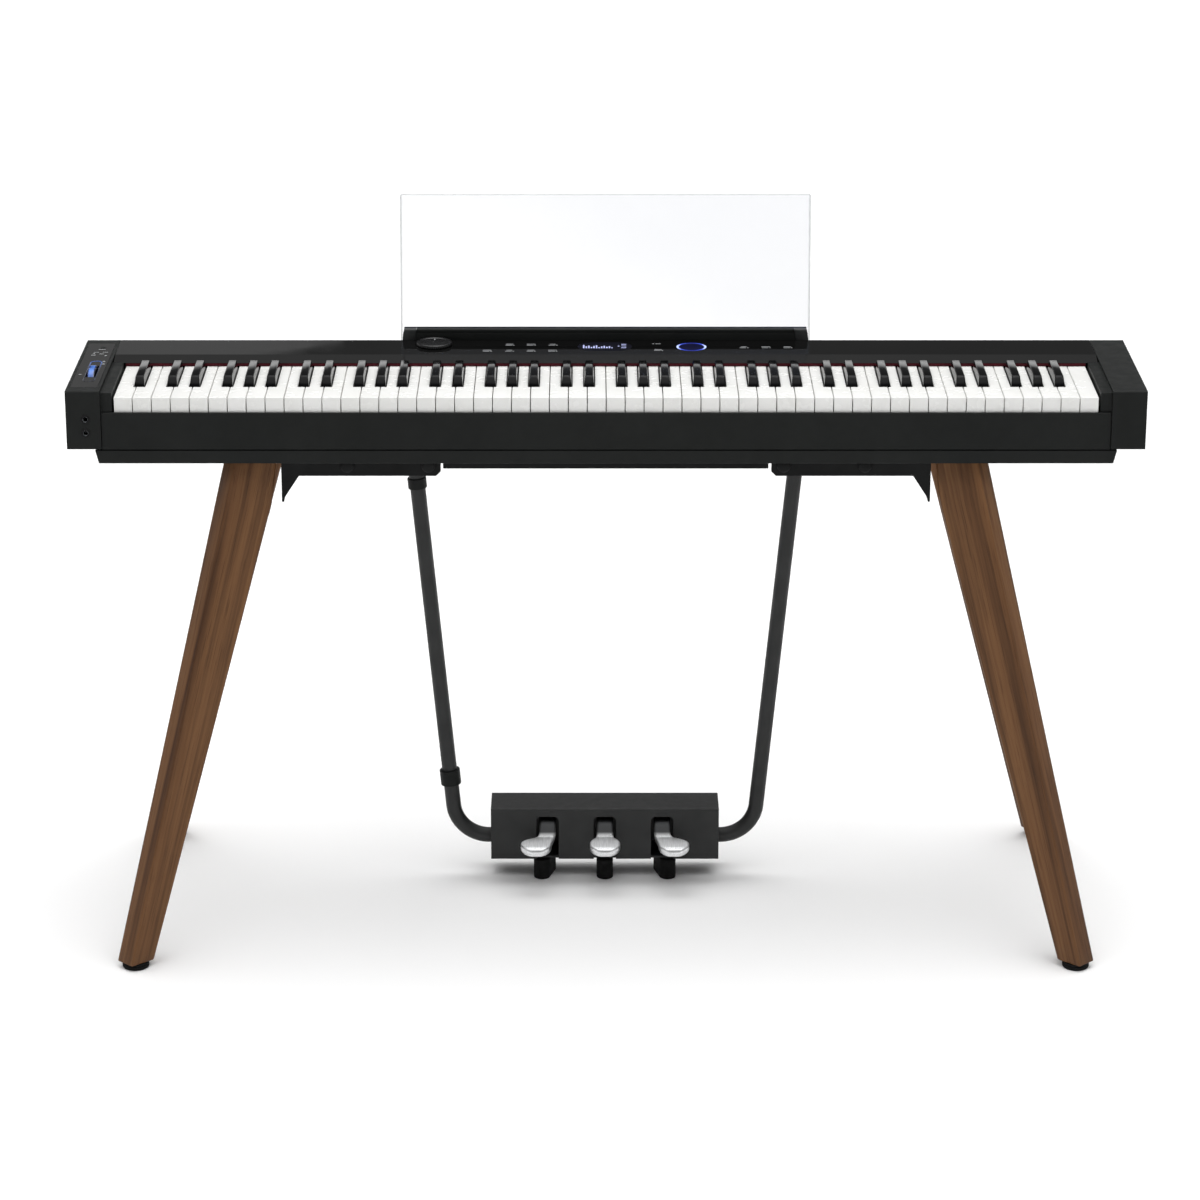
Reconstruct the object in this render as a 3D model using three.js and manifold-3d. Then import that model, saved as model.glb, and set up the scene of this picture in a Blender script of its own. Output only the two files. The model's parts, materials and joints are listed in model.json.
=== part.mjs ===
// Slim 88-key digital piano on a four-legged wooden stand with a three-pedal unit.
// Millimetres, +X towards the treble end, +Y away from the player, +Z up.
// The origin is on the floor, under the middle of the keyboard.
import * as THREE from 'three';
import Module from 'manifold-3d';
import { mergeVertices } from 'three/addons/utils/BufferGeometryUtils.js';

const wasm = await Module();
wasm.setup();

// ---- driving dimensions ----
const GAP = 0.3; // between pieces that touch
const DEPTH = 242; // of the keyboard housing
const TOP_Z = 730; // top of the housing
const WALL = 3; // moulded casing walls

const CAP_WIDTH = 43;
const CAP_HEIGHT = 75;
const CAP_CHAMFER = 1.6;
const CHEEK_TOP_DROP = 4;

const TRAY_HEIGHT = 18;
const TRAY_INSET = 4.5; // tray front behind the housing front
const TRAY_DRAFT = 4;
const TRAY_SHADOW_GAP = 2.5; // between tray rim and end caps
const TRAY_OVERHANG = 9; // tray rim beyond the end caps' inner faces
const RIB_THICKNESS = 4;
const BOARD_POST_R = 4;

const RAIL_HEIGHT = 47.5;
const RAIL_THICKNESS = 2.8;
const RAIL_SETBACK = 3;
const RAIL_FLANGE = 16; // turned in under the keys
const RAIL_DROP = 1.2; // below the end caps' underside

// keys
const WHITE_COUNT = 52;
const WHITE_PITCH = 23.5;
const CHEEK_WIDTH = 16; // from the last key's place to its end cap
const CHEEK_GAP = 2; // beside the last key
const WHITE_GAP = 1;
const WHITE_SETBACK = 7; // key fronts behind the housing front
const WHITE_TOP_DROP = 10; // below the housing top
const KEY_THICKNESS = 22;
const SHARP_WIDTH = 13;
const SHARP_TOP_WIDTH = 10;
const SHARP_CLEARANCE = 0.8; // beside a sharp
const SHARP_FRONT_GAP = 1.6; // in front of a sharp, for its swing
const SHARP_RISE = 12; // above the white keys
const SHARP_SETBACK = 49; // behind the white keys' fronts
const SHARP_SLOPE = 8.5;
const SHARP_REAR_SHADOW = 12.5; // between a sharp and the panel
const KEY_PIVOT_SETBACK = 24; // behind the panel's front edge
const KEY_TAIL = 10; // behind the pivot
const PIVOT_ROD_R = 3;
const PIVOT_RISE = 3; // rod axis above the keys' underside
const KEY_DIP = 10; // travel at the front edge
const FIRST_MOVING = 60; // note numbers of the separately hinged octave
const LAST_MOVING = 71;
const FIRST_NOTE = 21;
const LAST_NOTE = 108;

const CHASSIS_PLATE = 2;
const CHASSIS_LIFT = 0.5; // above the tray's rim and ribs
const CHASSIS_SETBACK = 4; // behind the keys' fronts
const CHASSIS_WEB = 2.4;
const GUIDE_RAIL_DEPTH = 20;
const GUIDE_RAIL_SETBACK = 10;
const GUIDE_CLEARANCE = 3; // under a key at the bottom of its travel
const SPINE_DEPTH = 5; // ties the keys that are joined

// control panel
const KEY_SHOWING = 142; // white key in front of the panel
const PANEL_FRONT_DROP = 5.5;
const PANEL_SLOPE = 21.5; // depth of the rising front strip
const FELT_KEY_CLEARANCE = 0.6;
const FELT_THICKNESS = 2.4;
const KNOB_D = 46;
const KNOB_HEIGHT = 4.7;
const KNOB_X = -220.4;
const KNOB_REAR_MARGIN = 3; // rim to the panel's rear edge
const KNOB_CHAMFER = 1.2;
const KNOB_RIM = 5;
const KNOB_DISH = 0.8;
const SPINDLE_R = 3;
const SPINDLE_LENGTH = 8;
const HOLE_CLEARANCE = 0.4;

// left end cap controls
const INSET_SIDE_MARGIN = 4.5;
const INSET_END_MARGIN = 18;
const INSET_THICKNESS = 1.4;
const CONTROL_OFFSET = 2.5; // controls inward of the cap's middle
const WHEEL_R = 31;
const WHEEL_WIDTH = 9;
const WHEEL_RISE = 7;
const WHEEL_SETBACK = 91; // axis behind the housing front
const WHEEL_SLOT_CLEARANCE = 1.5;
const WHEEL_END_CLEARANCE = 6.4; // beyond the wheel where it passes through the top
const WHEEL_NOTCH_R = 7;
const WHEEL_NOTCH_LIFT = 4.6; // notch centre above the wheel's rim
const BUTTON_R = 3.6;
const BUTTON_SETBACK = 203;
const BUTTON_HEIGHT = 6;
const BUTTON_RISE = 0.5;
const CONTROL_CUT = 12; // depth of the cuts for the wheel and the button

// sockets
const SOCKET_BORE_R = 3.25;
const SOCKET_R = 4.7;
const SOCKET_LENGTH = 20;
const SOCKET_DEPTH = 17;
const SOCKET_FLANGE_R = 5.8;
const SOCKET_FLANGE = 0.8;
const JACK_DROPS = [36.5, 54.3]; // axes below the housing top
const INLET_END_MARGIN = 110;
const INLET_DROP = 40;

// electronics
const BOARD_LENGTH = 260;
const BOARD_THICKNESS = 1.6;
const BOARD_MARGIN = 7; // to the key tails and to the rear panel
const BOARD_X = -120;
const BOARD_LIFT = 9;
const SPEAKER_R = 28;
const SPEAKER_END_MARGIN = 240;
const SPEAKER_DEPTH = 30;
const GRILLE_SLOTS = 9;
const GRILLE_SLOT = [2.6, 34];
const GRILLE_PITCH = 6;

// music rest
const REST_WIDTH = 530;
const REST_HEIGHT = 195;
const REST_THICKNESS = 4;
const REST_LEAN_DEG = 10.5;
const REST_CLEARANCE = 0.5;
const LEDGE_WIDTH = 528;
const LEDGE_END_SLANT = 3.5;
const LEDGE_RISE = 13.4; // above the housing
const LEDGE_DROP = 16; // down the rear panel
const LEDGE_DEPTH = 14.2;
const LEDGE_FLOOR = 6;
const LEDGE_LIP = 4.6; // in front of the sheet's foot
const LEDGE_CHAMFER = 0.8;

// stand
const GLIDE_R = 17;
const GLIDE_HEIGHT = 8;
const LEG_TOP_GAP = 1.4; // below the tray
const LEG_UPRIGHT = 57.1; // length over which the inner edge stands upright
// leg corners, from the housing's own corner: [outwards, forwards]
const LEG_FOOT = { outer: [-48, 104.6], ridge: [-70, 125], inner: [-97, 101], back: [-77, 80] };
const LEG_HEAD = {
  outer: [-189.5, -37], ridge: [-206.5, -19], inner: [-261.5, -35], back: [-238, -59],
};
const LEG_INNER_AT_KINK = [-257, -29];
const BRACKET_INNER_OFFSET = 55; // outward of the pedal box's side
const BRACKET_SETBACK = 29; // behind the housing front
const BRACKET_HEIGHT = 23;
const BRACKET_WALL = 3;
const BRACKET_CORNER = 6;
const BRACKET_LEG_GAP = 1.5;
const GUSSET_WIDTH = 22;
const GUSSET_DROP = 34;
const CROSS_BAR_DEPTH = 50;
const CROSS_BAR_HEIGHT = 34;
const CLAMP_KNOB_SHARES = [0.0775, 0.585]; // places along the bracket, from its inner end
const CLAMP_KNOB_R = 8.5;
const CLAMP_KNOB_DEPTH = 7;

// pedal unit
const BOX_WIDTH = 304;
const BOX_DEPTH = 60;
const BOX_BOTTOM_Z = 28;
const BOX_HEIGHT = 72;
const SLOT_WIDTH = 29.5;
const SLOT_TOP_DROP = 11.6;
const SLOT_CORNER = 6;
const BOX_CHAMFER = 1.5;
const PEDAL_SPACING = 76.5;
const PEDAL_SPLAY = 15; // tip offset of the outer pedals
const PEDAL_ARM_WIDTH = 22;
const PEDAL_SPOON_WIDTH = 41;
const PEDAL_REACH = 50; // tip in front of the box
const PEDAL_SHAFT_R = 4;
const PEDAL_SHAFT_INSET = 44; // behind the box front
const PEDAL_SHAFT_DROP = 24; // below the box top
const PEDAL_FOOT_R = 11;
const PEDAL_FOOT_REACH = 27;
const PEDAL_FOOT_INSET = 6;
const TUBE_R = 10;
const TUBE_INSET = 18; // behind the box front
const TUBE_SKIRT_CLEARANCE = 1; // to the bracket's rear skirt
const TUBE_BEND_R = 48;
const TUBE_RISE = 28; // above the box's underside
const TUBE_TOP_PLACE = 45; // outward of the bracket's inner end
const TUBE_SPREAD = 46; // from the box's side to where the straight part would end
const CLIPS = [{ name: 'cable_clip_upper', z: 550, height: 14, wall: 2 },
  { name: 'cable_clip_lower', z: 140, height: 21, wall: 3.2 }];

// ---- derived positions ----
const KEYS_HALF = WHITE_COUNT * WHITE_PITCH / 2;
const CAP_INNER_X = KEYS_HALF + CHEEK_WIDTH;
const HALF_WIDTH = CAP_INNER_X + CAP_WIDTH;
const HALF_DEPTH = DEPTH / 2;
const CAP_BOTTOM_Z = TOP_Z - CAP_HEIGHT;
const BETWEEN_CAPS = 2 * (CAP_INNER_X - GAP);
const TRAY_RIM_Z = CAP_BOTTOM_Z - TRAY_SHADOW_GAP;
const TRAY_BOTTOM_Z = TRAY_RIM_Z - TRAY_HEIGHT;
const WHITE_FRONT_Y = -HALF_DEPTH + WHITE_SETBACK;
const PANEL_FRONT_Y = WHITE_FRONT_Y + KEY_SHOWING;
const PANEL_FLAT_Y = PANEL_FRONT_Y + PANEL_SLOPE;
const SHARP_FRONT_Y = WHITE_FRONT_Y + SHARP_SETBACK;
const SHARP_REAR_Y = PANEL_FRONT_Y - SHARP_REAR_SHADOW;
const KEY_PIVOT_Y = PANEL_FRONT_Y + KEY_PIVOT_SETBACK;
const WHITE_TOP_Z = TOP_Z - WHITE_TOP_DROP;
const KEY_BOTTOM_Z = WHITE_TOP_Z - KEY_THICKNESS;
const PIVOT_Z = KEY_BOTTOM_Z + PIVOT_RISE;
const CHASSIS_Z = CAP_BOTTOM_Z + CHASSIS_LIFT;
const CHASSIS_TOP_Z = CHASSIS_Z + CHASSIS_PLATE;
const LEG_TOP_Z = TRAY_BOTTOM_Z - LEG_TOP_GAP;
const LEG_KINK_Z = LEG_TOP_Z - LEG_UPRIGHT;
const PANEL_LIP_Z = TOP_Z - PANEL_FRONT_DROP;
const CONTROL_X = -(HALF_WIDTH - CAP_WIDTH / 2) + CONTROL_OFFSET;
const WHEEL_Y = -HALF_DEPTH + WHEEL_SETBACK;
const BUTTON_Y = -HALF_DEPTH + BUTTON_SETBACK;
const KNOB_Y = HALF_DEPTH - KNOB_REAR_MARGIN - KNOB_D / 2;
const INLET_X = HALF_WIDTH - INLET_END_MARGIN;
const SPEAKER_X = HALF_WIDTH - SPEAKER_END_MARGIN;
const BRACKET_OUTER_X = HALF_WIDTH + LEG_HEAD.inner[0] - BRACKET_LEG_GAP;
const BRACKET_INNER_X = BOX_WIDTH / 2 + BRACKET_INNER_OFFSET;
const BRACKET_HALF_DEPTH = HALF_DEPTH - BRACKET_SETBACK;
const TUBE_Y = BRACKET_HALF_DEPTH - BRACKET_WALL - TUBE_SKIRT_CLEARANCE - TUBE_R;
const BOX_FRONT_Y = TUBE_Y - TUBE_INSET;
const PEDAL_TIP_Y = BOX_FRONT_Y - PEDAL_REACH;
const PEDAL_SHAFT_Y = BOX_FRONT_Y + PEDAL_SHAFT_INSET;
const PEDAL_SHAFT_Z = BOX_BOTTOM_Z + BOX_HEIGHT - PEDAL_SHAFT_DROP;
const PEDAL_FOOT_Y = BOX_FRONT_Y + PEDAL_FOOT_INSET;
const TUBE_LOW_Z = BOX_BOTTOM_Z + TUBE_RISE;

// ---- materials ----
function material(name, color, roughness, metalness = 0, extra = {}) {
  return Object.assign(new THREE.MeshStandardMaterial({ color, roughness, metalness, ...extra }), { name });
}
const caseBlack = material('case_black', 0x202222, 0.55);
const panelGloss = material('panel_gloss', 0x141414, 0.15);
const whiteKey = material('white_key', 0xf3f3ee, 0.35);
const feltRed = material('felt_red', 0x5a1620, 0.95);
const steelBlack = material('steel_black', 0x1b1b1c, 0.45, 0.6);
const zincSteel = material('zinc_steel', 0x9aa0a3, 0.4, 0.9);
const boardGreen = material('board_green', 0x1f5136, 0.6);
const clearAcrylic = material('clear_acrylic', 0xe8f0f2, 0.05, 0, { transparent: true, opacity: 0.25 });
const glowBlue = material('glow_blue', 0x2b5fae, 0.3, 0, { emissive: 0x1b4fae });
const walnut = material('walnut', 0x643022, 0.45);
const rubberBlack = material('rubber_black', 0x161616, 0.85);
const chrome = material('chrome', 0xd7d9da, 0.12, 1);

// ---- solid helpers ----
function toSolid(geometry) {
  const bare = geometry.clone();
  for (const name of ['normal', 'uv']) bare.deleteAttribute(name);
  const merged = mergeVertices(bare, 1e-4);
  return new wasm.Manifold(new wasm.Mesh({
    numProp: 3,
    vertProperties: new Float32Array(merged.attributes.position.array),
    triVerts: new Uint32Array(merged.index.array),
  }));
}

function toGeometry(solid) {
  const mesh = solid.getMesh();
  const geometry = new THREE.BufferGeometry();
  geometry.setAttribute('position', new THREE.BufferAttribute(mesh.vertProperties, 3));
  geometry.setIndex(new THREE.BufferAttribute(mesh.triVerts, 1));
  geometry.computeVertexNormals();
  return geometry;
}

const join = (first, ...rest) => rest.reduce((sum, next) => sum.add(next), first);
const cut = (first, ...rest) => rest.reduce((left, next) => left.subtract(next), first);

/** Box between two corners, as a solid. */
function block(x0, x1, y0, y1, z0, z1) {
  const geometry = new THREE.BoxGeometry(x1 - x0, y1 - y0, z1 - z0);
  geometry.translate((x0 + x1) / 2, (y0 + y1) / 2, (z0 + z1) / 2);
  return toSolid(geometry);
}

/** An outline of [u, v] points, or a Shape, extruded by a length. */
function extrude(outline, length, curveSegments = 8) {
  const shape = Array.isArray(outline)
    ? new THREE.Shape(outline.map(([u, v]) => new THREE.Vector2(u, v)))
    : outline;
  return new THREE.ExtrudeGeometry(shape, { depth: length, bevelEnabled: false, curveSegments });
}

/** An outline in Y and Z, carried along X. */
function alongX(outline, x0, x1, curveSegments) {
  const geometry = extrude(outline, x1 - x0, curveSegments);
  // (u, v, w) becomes (w, u, v)
  geometry.applyMatrix4(new THREE.Matrix4().makeBasis(
    new THREE.Vector3(0, 1, 0), new THREE.Vector3(0, 0, 1), new THREE.Vector3(1, 0, 0)));
  geometry.translate(x0, 0, 0);
  return toSolid(geometry);
}

/** An outline in X and Z, carried along Y. */
function alongY(outline, y0, y1, curveSegments) {
  const geometry = extrude(outline, y1 - y0, curveSegments);
  geometry.rotateX(Math.PI / 2);
  geometry.translate(0, y1, 0);
  return toSolid(geometry);
}

/** An outline in X and Y, carried up Z. */
function alongZ(outline, z0, z1, curveSegments) {
  const geometry = extrude(outline, z1 - z0, curveSegments);
  geometry.translate(0, 0, z0);
  return toSolid(geometry);
}

/** Cylinder between two heights, then turned onto an axis through a point. */
function rod(axis, radius, from, to, [a, b], segments = 24) {
  const geometry = new THREE.CylinderGeometry(radius, radius, to - from, segments);
  geometry.translate(0, (from + to) / 2, 0);
  if (axis === 'x') geometry.rotateZ(-Math.PI / 2).translate(0, a, b);
  if (axis === 'y') geometry.translate(a, 0, b);
  if (axis === 'z') geometry.rotateX(Math.PI / 2).translate(a, b, 0);
  return toSolid(geometry);
}

/** Rings of points, one per level, all with the same corner order, closed into a solid. */
function loft(rings) {
  const count = rings[0].length;
  const index = [];
  for (let level = 0; level + 1 < rings.length; level += 1) {
    for (let corner = 0; corner < count; corner += 1) {
      const a = level * count + corner;
      const b = level * count + (corner + 1) % count;
      index.push(a, b, b + count, a, b + count, a + count);
    }
  }
  const last = (rings.length - 1) * count;
  for (let corner = 1; corner + 1 < count; corner += 1) {
    index.push(0, corner + 1, corner, last, last + corner, last + corner + 1);
  }
  const geometry = new THREE.BufferGeometry();
  geometry.setAttribute('position', new THREE.Float32BufferAttribute(rings.flat(2), 3));
  geometry.setIndex(index);
  return toSolid(geometry);
}

const piano = new THREE.Group();

/** Adds one named piece; a mirrored copy is made from the same solid. */
function add(name, solid, look) {
  const mesh = new THREE.Mesh(toGeometry(solid), look);
  mesh.name = name;
  piano.add(mesh);
}

const mirrorX = (solid) => solid.mirror([1, 0, 0]);
const mirrorY = (solid) => solid.mirror([0, 1, 0]);

// ---- keys ----
/** The sounding keys with the width of each head and tail, from the lowest to the highest. */
function keyPlan() {
  const slot = SHARP_WIDTH + 2 * SHARP_CLEARANCE;
  const groups = [
    { first: 0, names: ['c', 'cs', 'd', 'ds', 'e'] },
    { first: 5, names: ['f', 'fs', 'g', 'gs', 'a', 'as', 'b'] },
  ];
  const whitesBeforeC1 = 2;
  const whitesPerOctave = 7;
  const keys = [];
  for (let octave = 0; octave <= 8; octave += 1) {
    let left = -KEYS_HALF + (whitesBeforeC1 + (octave - 1) * whitesPerOctave) * WHITE_PITCH;
    for (const group of groups) {
      const whites = (group.names.length + 1) / 2;
      const tail = (whites * WHITE_PITCH - (whites - 1) * slot) / whites;
      let x = left;
      group.names.forEach((name, order) => {
        const sharp = order % 2 === 1;
        const note = 12 * (octave + 1) + group.first + order;
        const head = left + (order / 2) * WHITE_PITCH;
        const next = x + (sharp ? slot : tail);
        keys.push({ name: `key_${name}${octave}`, note, sharp, head, tail: [x, next] });
        x = next;
      });
      left += whites * WHITE_PITCH;
    }
  }
  return keys.filter(({ note }) => note >= FIRST_NOTE && note <= LAST_NOTE);
}

/** A white key: a full-width head and a tail that leaves room for its sharps. */
function whiteSolid({ note, head, tail }) {
  const x0 = head + WHITE_GAP / 2;
  const x1 = head + WHITE_PITCH - WHITE_GAP / 2;
  const t0 = note === FIRST_NOTE ? x0 : Math.max(tail[0], x0);
  const t1 = note === LAST_NOTE ? x1 : Math.min(tail[1], x1);
  const shoulder = SHARP_FRONT_Y - SHARP_FRONT_GAP;
  const rear = KEY_PIVOT_Y + KEY_TAIL;
  const outline = [[x0, WHITE_FRONT_Y], [x1, WHITE_FRONT_Y], [x1, shoulder], [t1, shoulder],
    [t1, rear], [t0, rear], [t0, shoulder], [x0, shoulder]];
  const corners = outline.filter(([x, y], i) => {
    const [px, py] = outline[(i + outline.length - 1) % outline.length];
    return Math.hypot(x - px, y - py) > 1e-6;
  });
  return alongZ(corners, KEY_BOTTOM_Z, WHITE_TOP_Z);
}

/** A sharp: sloping front, sides drawn in towards the top, and a low tail under the panel. */
function sharpSolid({ tail }) {
  const x0 = tail[0] + SHARP_CLEARANCE;
  const x1 = tail[1] - SHARP_CLEARANCE;
  const draw = (SHARP_WIDTH - SHARP_TOP_WIDTH) / 2;
  const top = WHITE_TOP_Z + SHARP_RISE;
  const low = WHITE_TOP_Z - 1;
  const rear = KEY_PIVOT_Y + KEY_TAIL;
  const side = alongX([[SHARP_FRONT_Y, KEY_BOTTOM_Z], [rear, KEY_BOTTOM_Z], [rear, low],
    [SHARP_REAR_Y + 1, low], [SHARP_REAR_Y, top], [SHARP_FRONT_Y + SHARP_SLOPE, top],
    [SHARP_FRONT_Y, WHITE_TOP_Z]], x0, x1);
  const front = alongY([[x0, KEY_BOTTOM_Z - 1], [x1, KEY_BOTTOM_Z - 1], [x1, low],
    [x1 - draw, top + 1], [x0 + draw, top + 1], [x0, low]], SHARP_FRONT_Y - 1, rear + 1);
  return side.intersect(front);
}

const keySolid = (key) => (key.sharp ? sharpSolid(key) : whiteSolid(key));

/** A hinged key, with a round groove underneath that rides on the pivot rod. */
function hingedKey(key) {
  const radius = PIVOT_ROD_R + GAP;
  const [x0, x1] = key.tail;
  return cut(keySolid(key), rod('x', radius, x0 - 1, x1 + 1, [KEY_PIVOT_Y, PIVOT_Z], 16),
    block(x0 - 1, x1 + 1, KEY_PIVOT_Y - radius, KEY_PIVOT_Y + radius, KEY_BOTTOM_Z - 1, PIVOT_Z));
}

/** Neighbouring keys tied by a spine across their tails. */
function keyBlock(keys) {
  const edges = keys.flatMap(({ tail }) => tail);
  const rear = KEY_PIVOT_Y + KEY_TAIL;
  const inset = WHITE_GAP;
  const spine = block(Math.min(...edges) + inset, Math.max(...edges) - inset,
    rear - SPINE_DEPTH, rear + 1, KEY_BOTTOM_Z + 2, WHITE_TOP_Z - 3);
  const radius = PIVOT_ROD_R + GAP;
  const channel = block(-KEYS_HALF - 1, KEYS_HALF + 1, KEY_PIVOT_Y - radius, KEY_PIVOT_Y + radius,
    KEY_BOTTOM_Z - 1, PIVOT_Z + radius);
  return cut(join(spine, ...keys.map(keySolid)), channel);
}

function addKeys() {
  const keys = keyPlan();
  add('bass_keys', keyBlock(keys.filter(({ note }) => note < FIRST_MOVING)), whiteKey);
  add('treble_keys', keyBlock(keys.filter(({ note }) => note > LAST_MOVING)), whiteKey);
  for (const key of keys.filter(({ note }) => note >= FIRST_MOVING && note <= LAST_MOVING)) {
    add(key.name, hingedKey(key), key.sharp ? panelGloss : whiteKey);
  }
}

function addKeyChassis() {
  const half = KEYS_HALF + WHITE_GAP;
  const rear = KEY_PIVOT_Y + KEY_TAIL;
  const plate = block(-half, half, WHITE_FRONT_Y + CHASSIS_SETBACK, rear, CHASSIS_Z, CHASSIS_TOP_Z);
  const guideFront = WHITE_FRONT_Y + GUIDE_RAIL_SETBACK;
  const guide = block(-half, half, guideFront, guideFront + GUIDE_RAIL_DEPTH,
    CHASSIS_TOP_Z - 1, KEY_BOTTOM_Z - KEY_DIP - GUIDE_CLEARANCE);
  const web = block(-half, half, KEY_PIVOT_Y - CHASSIS_WEB / 2, KEY_PIVOT_Y + CHASSIS_WEB / 2,
    CHASSIS_TOP_Z - 1, PIVOT_Z);
  const pivot = rod('x', PIVOT_ROD_R, -half, half, [KEY_PIVOT_Y, PIVOT_Z], 16);
  add('key_chassis', join(plate, guide, web, pivot), zincSteel);
}

// ---- housing ----
function addTray() {
  const rim = CAP_INNER_X + TRAY_OVERHANG;
  const front = HALF_DEPTH - TRAY_INSET;
  const section = (inset, bottom, top, draft) => loft([[bottom, draft], [top, 0]].map(([z, pull]) => {
    const x = rim - inset - pull;
    const y = front - inset - pull / 2;
    return [[-x, -y, z], [x, -y, z], [x, y, z], [-x, y, z]];
  }));
  const shell = cut(section(0, TRAY_BOTTOM_Z, TRAY_RIM_Z, TRAY_DRAFT),
    section(WALL, TRAY_BOTTOM_Z + WALL, TRAY_RIM_Z + 1, TRAY_DRAFT));
  const ribTop = CHASSIS_Z - GAP;
  const ribs = [WHITE_FRONT_Y + 20, KEY_PIVOT_Y - 8].map((y) => block(-KEYS_HALF, KEYS_HALF,
    y, y + RIB_THICKNESS, TRAY_BOTTOM_Z + 1, ribTop));
  const posts = [-1, 1].flatMap((side) => [0.3, 0.9].map((share) => rod('z', BOARD_POST_R, TRAY_BOTTOM_Z + 1,
    CHASSIS_Z + BOARD_LIFT - GAP, [BOARD_X + side * share * BOARD_LENGTH / 2, boardY()], 12)));
  add('bottom_case', join(shell, ...ribs, ...posts), caseBlack);
}

const boardY = () => (KEY_PIVOT_Y + KEY_TAIL + HALF_DEPTH - WALL) / 2;

function addBoard() {
  const z = CHASSIS_Z + BOARD_LIFT;
  add('main_board', block(BOARD_X - BOARD_LENGTH / 2, BOARD_X + BOARD_LENGTH / 2,
    KEY_PIVOT_Y + KEY_TAIL + BOARD_MARGIN, HALF_DEPTH - WALL - BOARD_MARGIN,
    z, z + BOARD_THICKNESS), boardGreen);
}

/** Corners cut at 45 degrees where the top meets the front and the rear. */
function chamferedEnd(y, bottom, top) {
  const c = CAP_CHAMFER;
  return [[-y, bottom], [y, bottom], [y, top - c], [y - c, top], [-y + c, top], [-y, top - c]];
}

/** Right end cap: a hollow moulding whose inner wall carries the key cheek. */
function endCap() {
  const shell = cut(alongX(chamferedEnd(HALF_DEPTH, CAP_BOTTOM_Z, TOP_Z), CAP_INNER_X, HALF_WIDTH),
    block(CAP_INNER_X - 1, HALF_WIDTH - WALL, -HALF_DEPTH + WALL, HALF_DEPTH - WALL,
      CAP_BOTTOM_Z + WALL, TOP_Z - WALL));
  const cheekTop = TOP_Z - CHEEK_TOP_DROP;
  const innerWall = block(CAP_INNER_X, CAP_INNER_X + WALL, -HALF_DEPTH + WALL / 2, PANEL_FRONT_Y - GAP,
    CAP_BOTTOM_Z + WALL / 2, TOP_Z - WALL / 2);
  const cheek = block(KEYS_HALF + CHEEK_GAP, CAP_INNER_X + 1, WHITE_FRONT_Y - GAP, PANEL_FRONT_Y - GAP,
    CHASSIS_TOP_Z + 0.5, cheekTop);
  return join(shell, innerWall, cheek);
}

const buttonHole = () => rod('z', BUTTON_R + HOLE_CLEARANCE, TOP_Z - CONTROL_CUT, TOP_Z + 1,
  [CONTROL_X, BUTTON_Y]);

function wheelSlot() {
  const half = WHEEL_WIDTH / 2 + WHEEL_SLOT_CLEARANCE;
  const reach = Math.sqrt(WHEEL_R ** 2 - (WHEEL_R - WHEEL_RISE) ** 2) + WHEEL_END_CLEARANCE;
  return block(CONTROL_X - half, CONTROL_X + half, WHEEL_Y - reach, WHEEL_Y + reach,
    TOP_Z - CONTROL_CUT, TOP_Z + 1);
}

/** Area of the left cap's top that the glossy control plate fills, grown by a clearance. */
function insetArea(clearance, depth, rise) {
  const side = INSET_SIDE_MARGIN - clearance;
  const half = HALF_DEPTH - INSET_END_MARGIN + clearance;
  return block(-HALF_WIDTH + side, -CAP_INNER_X - side, -half, half, TOP_Z - depth, TOP_Z + rise);
}

function addEndCaps() {
  add('end_cap_right', endCap(), caseBlack);
  const jackHoles = JACK_DROPS.map((drop) => rod('y', SOCKET_R + HOLE_CLEARANCE, -HALF_DEPTH - 1,
    -HALF_DEPTH + WALL + 1, [CONTROL_X, TOP_Z - drop]));
  const left = cut(mirrorX(endCap()), wheelSlot(), buttonHole(),
    insetArea(GAP, INSET_THICKNESS + GAP, 1), ...jackHoles);
  add('end_cap_left', left, caseBlack);
  add('control_plate', cut(insetArea(0, INSET_THICKNESS, 0), wheelSlot(), buttonHole()), panelGloss);
  add('power_button', rod('z', BUTTON_R, TOP_Z + BUTTON_RISE - BUTTON_HEIGHT, TOP_Z + BUTTON_RISE,
    [CONTROL_X, BUTTON_Y]), caseBlack);
}

/** Sprung wheel with a finger notch at the top. */
function addPitchWheel() {
  const z = TOP_Z + WHEEL_RISE - WHEEL_R;
  const x0 = CONTROL_X - WHEEL_WIDTH / 2;
  const wheel = rod('x', WHEEL_R, x0, x0 + WHEEL_WIDTH, [WHEEL_Y, z], 48);
  const notch = rod('x', WHEEL_NOTCH_R, x0 - 1, x0 + WHEEL_WIDTH + 1,
    [WHEEL_Y, z + WHEEL_R + WHEEL_NOTCH_LIFT], 20);
  add('pitch_wheel', cut(wheel, notch), glowBlue);
}

/** A socket: a flanged bush with a blind bore, its mouth towards -Y. */
function socket(x, mouthY, z, towards) {
  const profile = [[0, SOCKET_LENGTH], [SOCKET_R, SOCKET_LENGTH], [SOCKET_R, 0],
    [SOCKET_FLANGE_R, 0], [SOCKET_FLANGE_R, -SOCKET_FLANGE], [SOCKET_BORE_R, -SOCKET_FLANGE],
    [SOCKET_BORE_R, SOCKET_DEPTH], [0, SOCKET_DEPTH]];
  const points = profile.map(([r, y]) => new THREE.Vector2(r, y)).reverse();
  const geometry = new THREE.LatheGeometry(points, 24);
  if (towards > 0) geometry.rotateX(Math.PI);
  geometry.translate(x, mouthY, z);
  return toSolid(geometry);
}

function addSockets() {
  const names = ['headphone_jack_upper', 'headphone_jack_lower'];
  names.forEach((name, i) => add(name,
    socket(CONTROL_X, -HALF_DEPTH - GAP, TOP_Z - JACK_DROPS[i], -1), panelGloss));
  add('power_inlet', socket(INLET_X, HALF_DEPTH + GAP, TOP_Z - INLET_DROP, 1), panelGloss);
}

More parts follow.
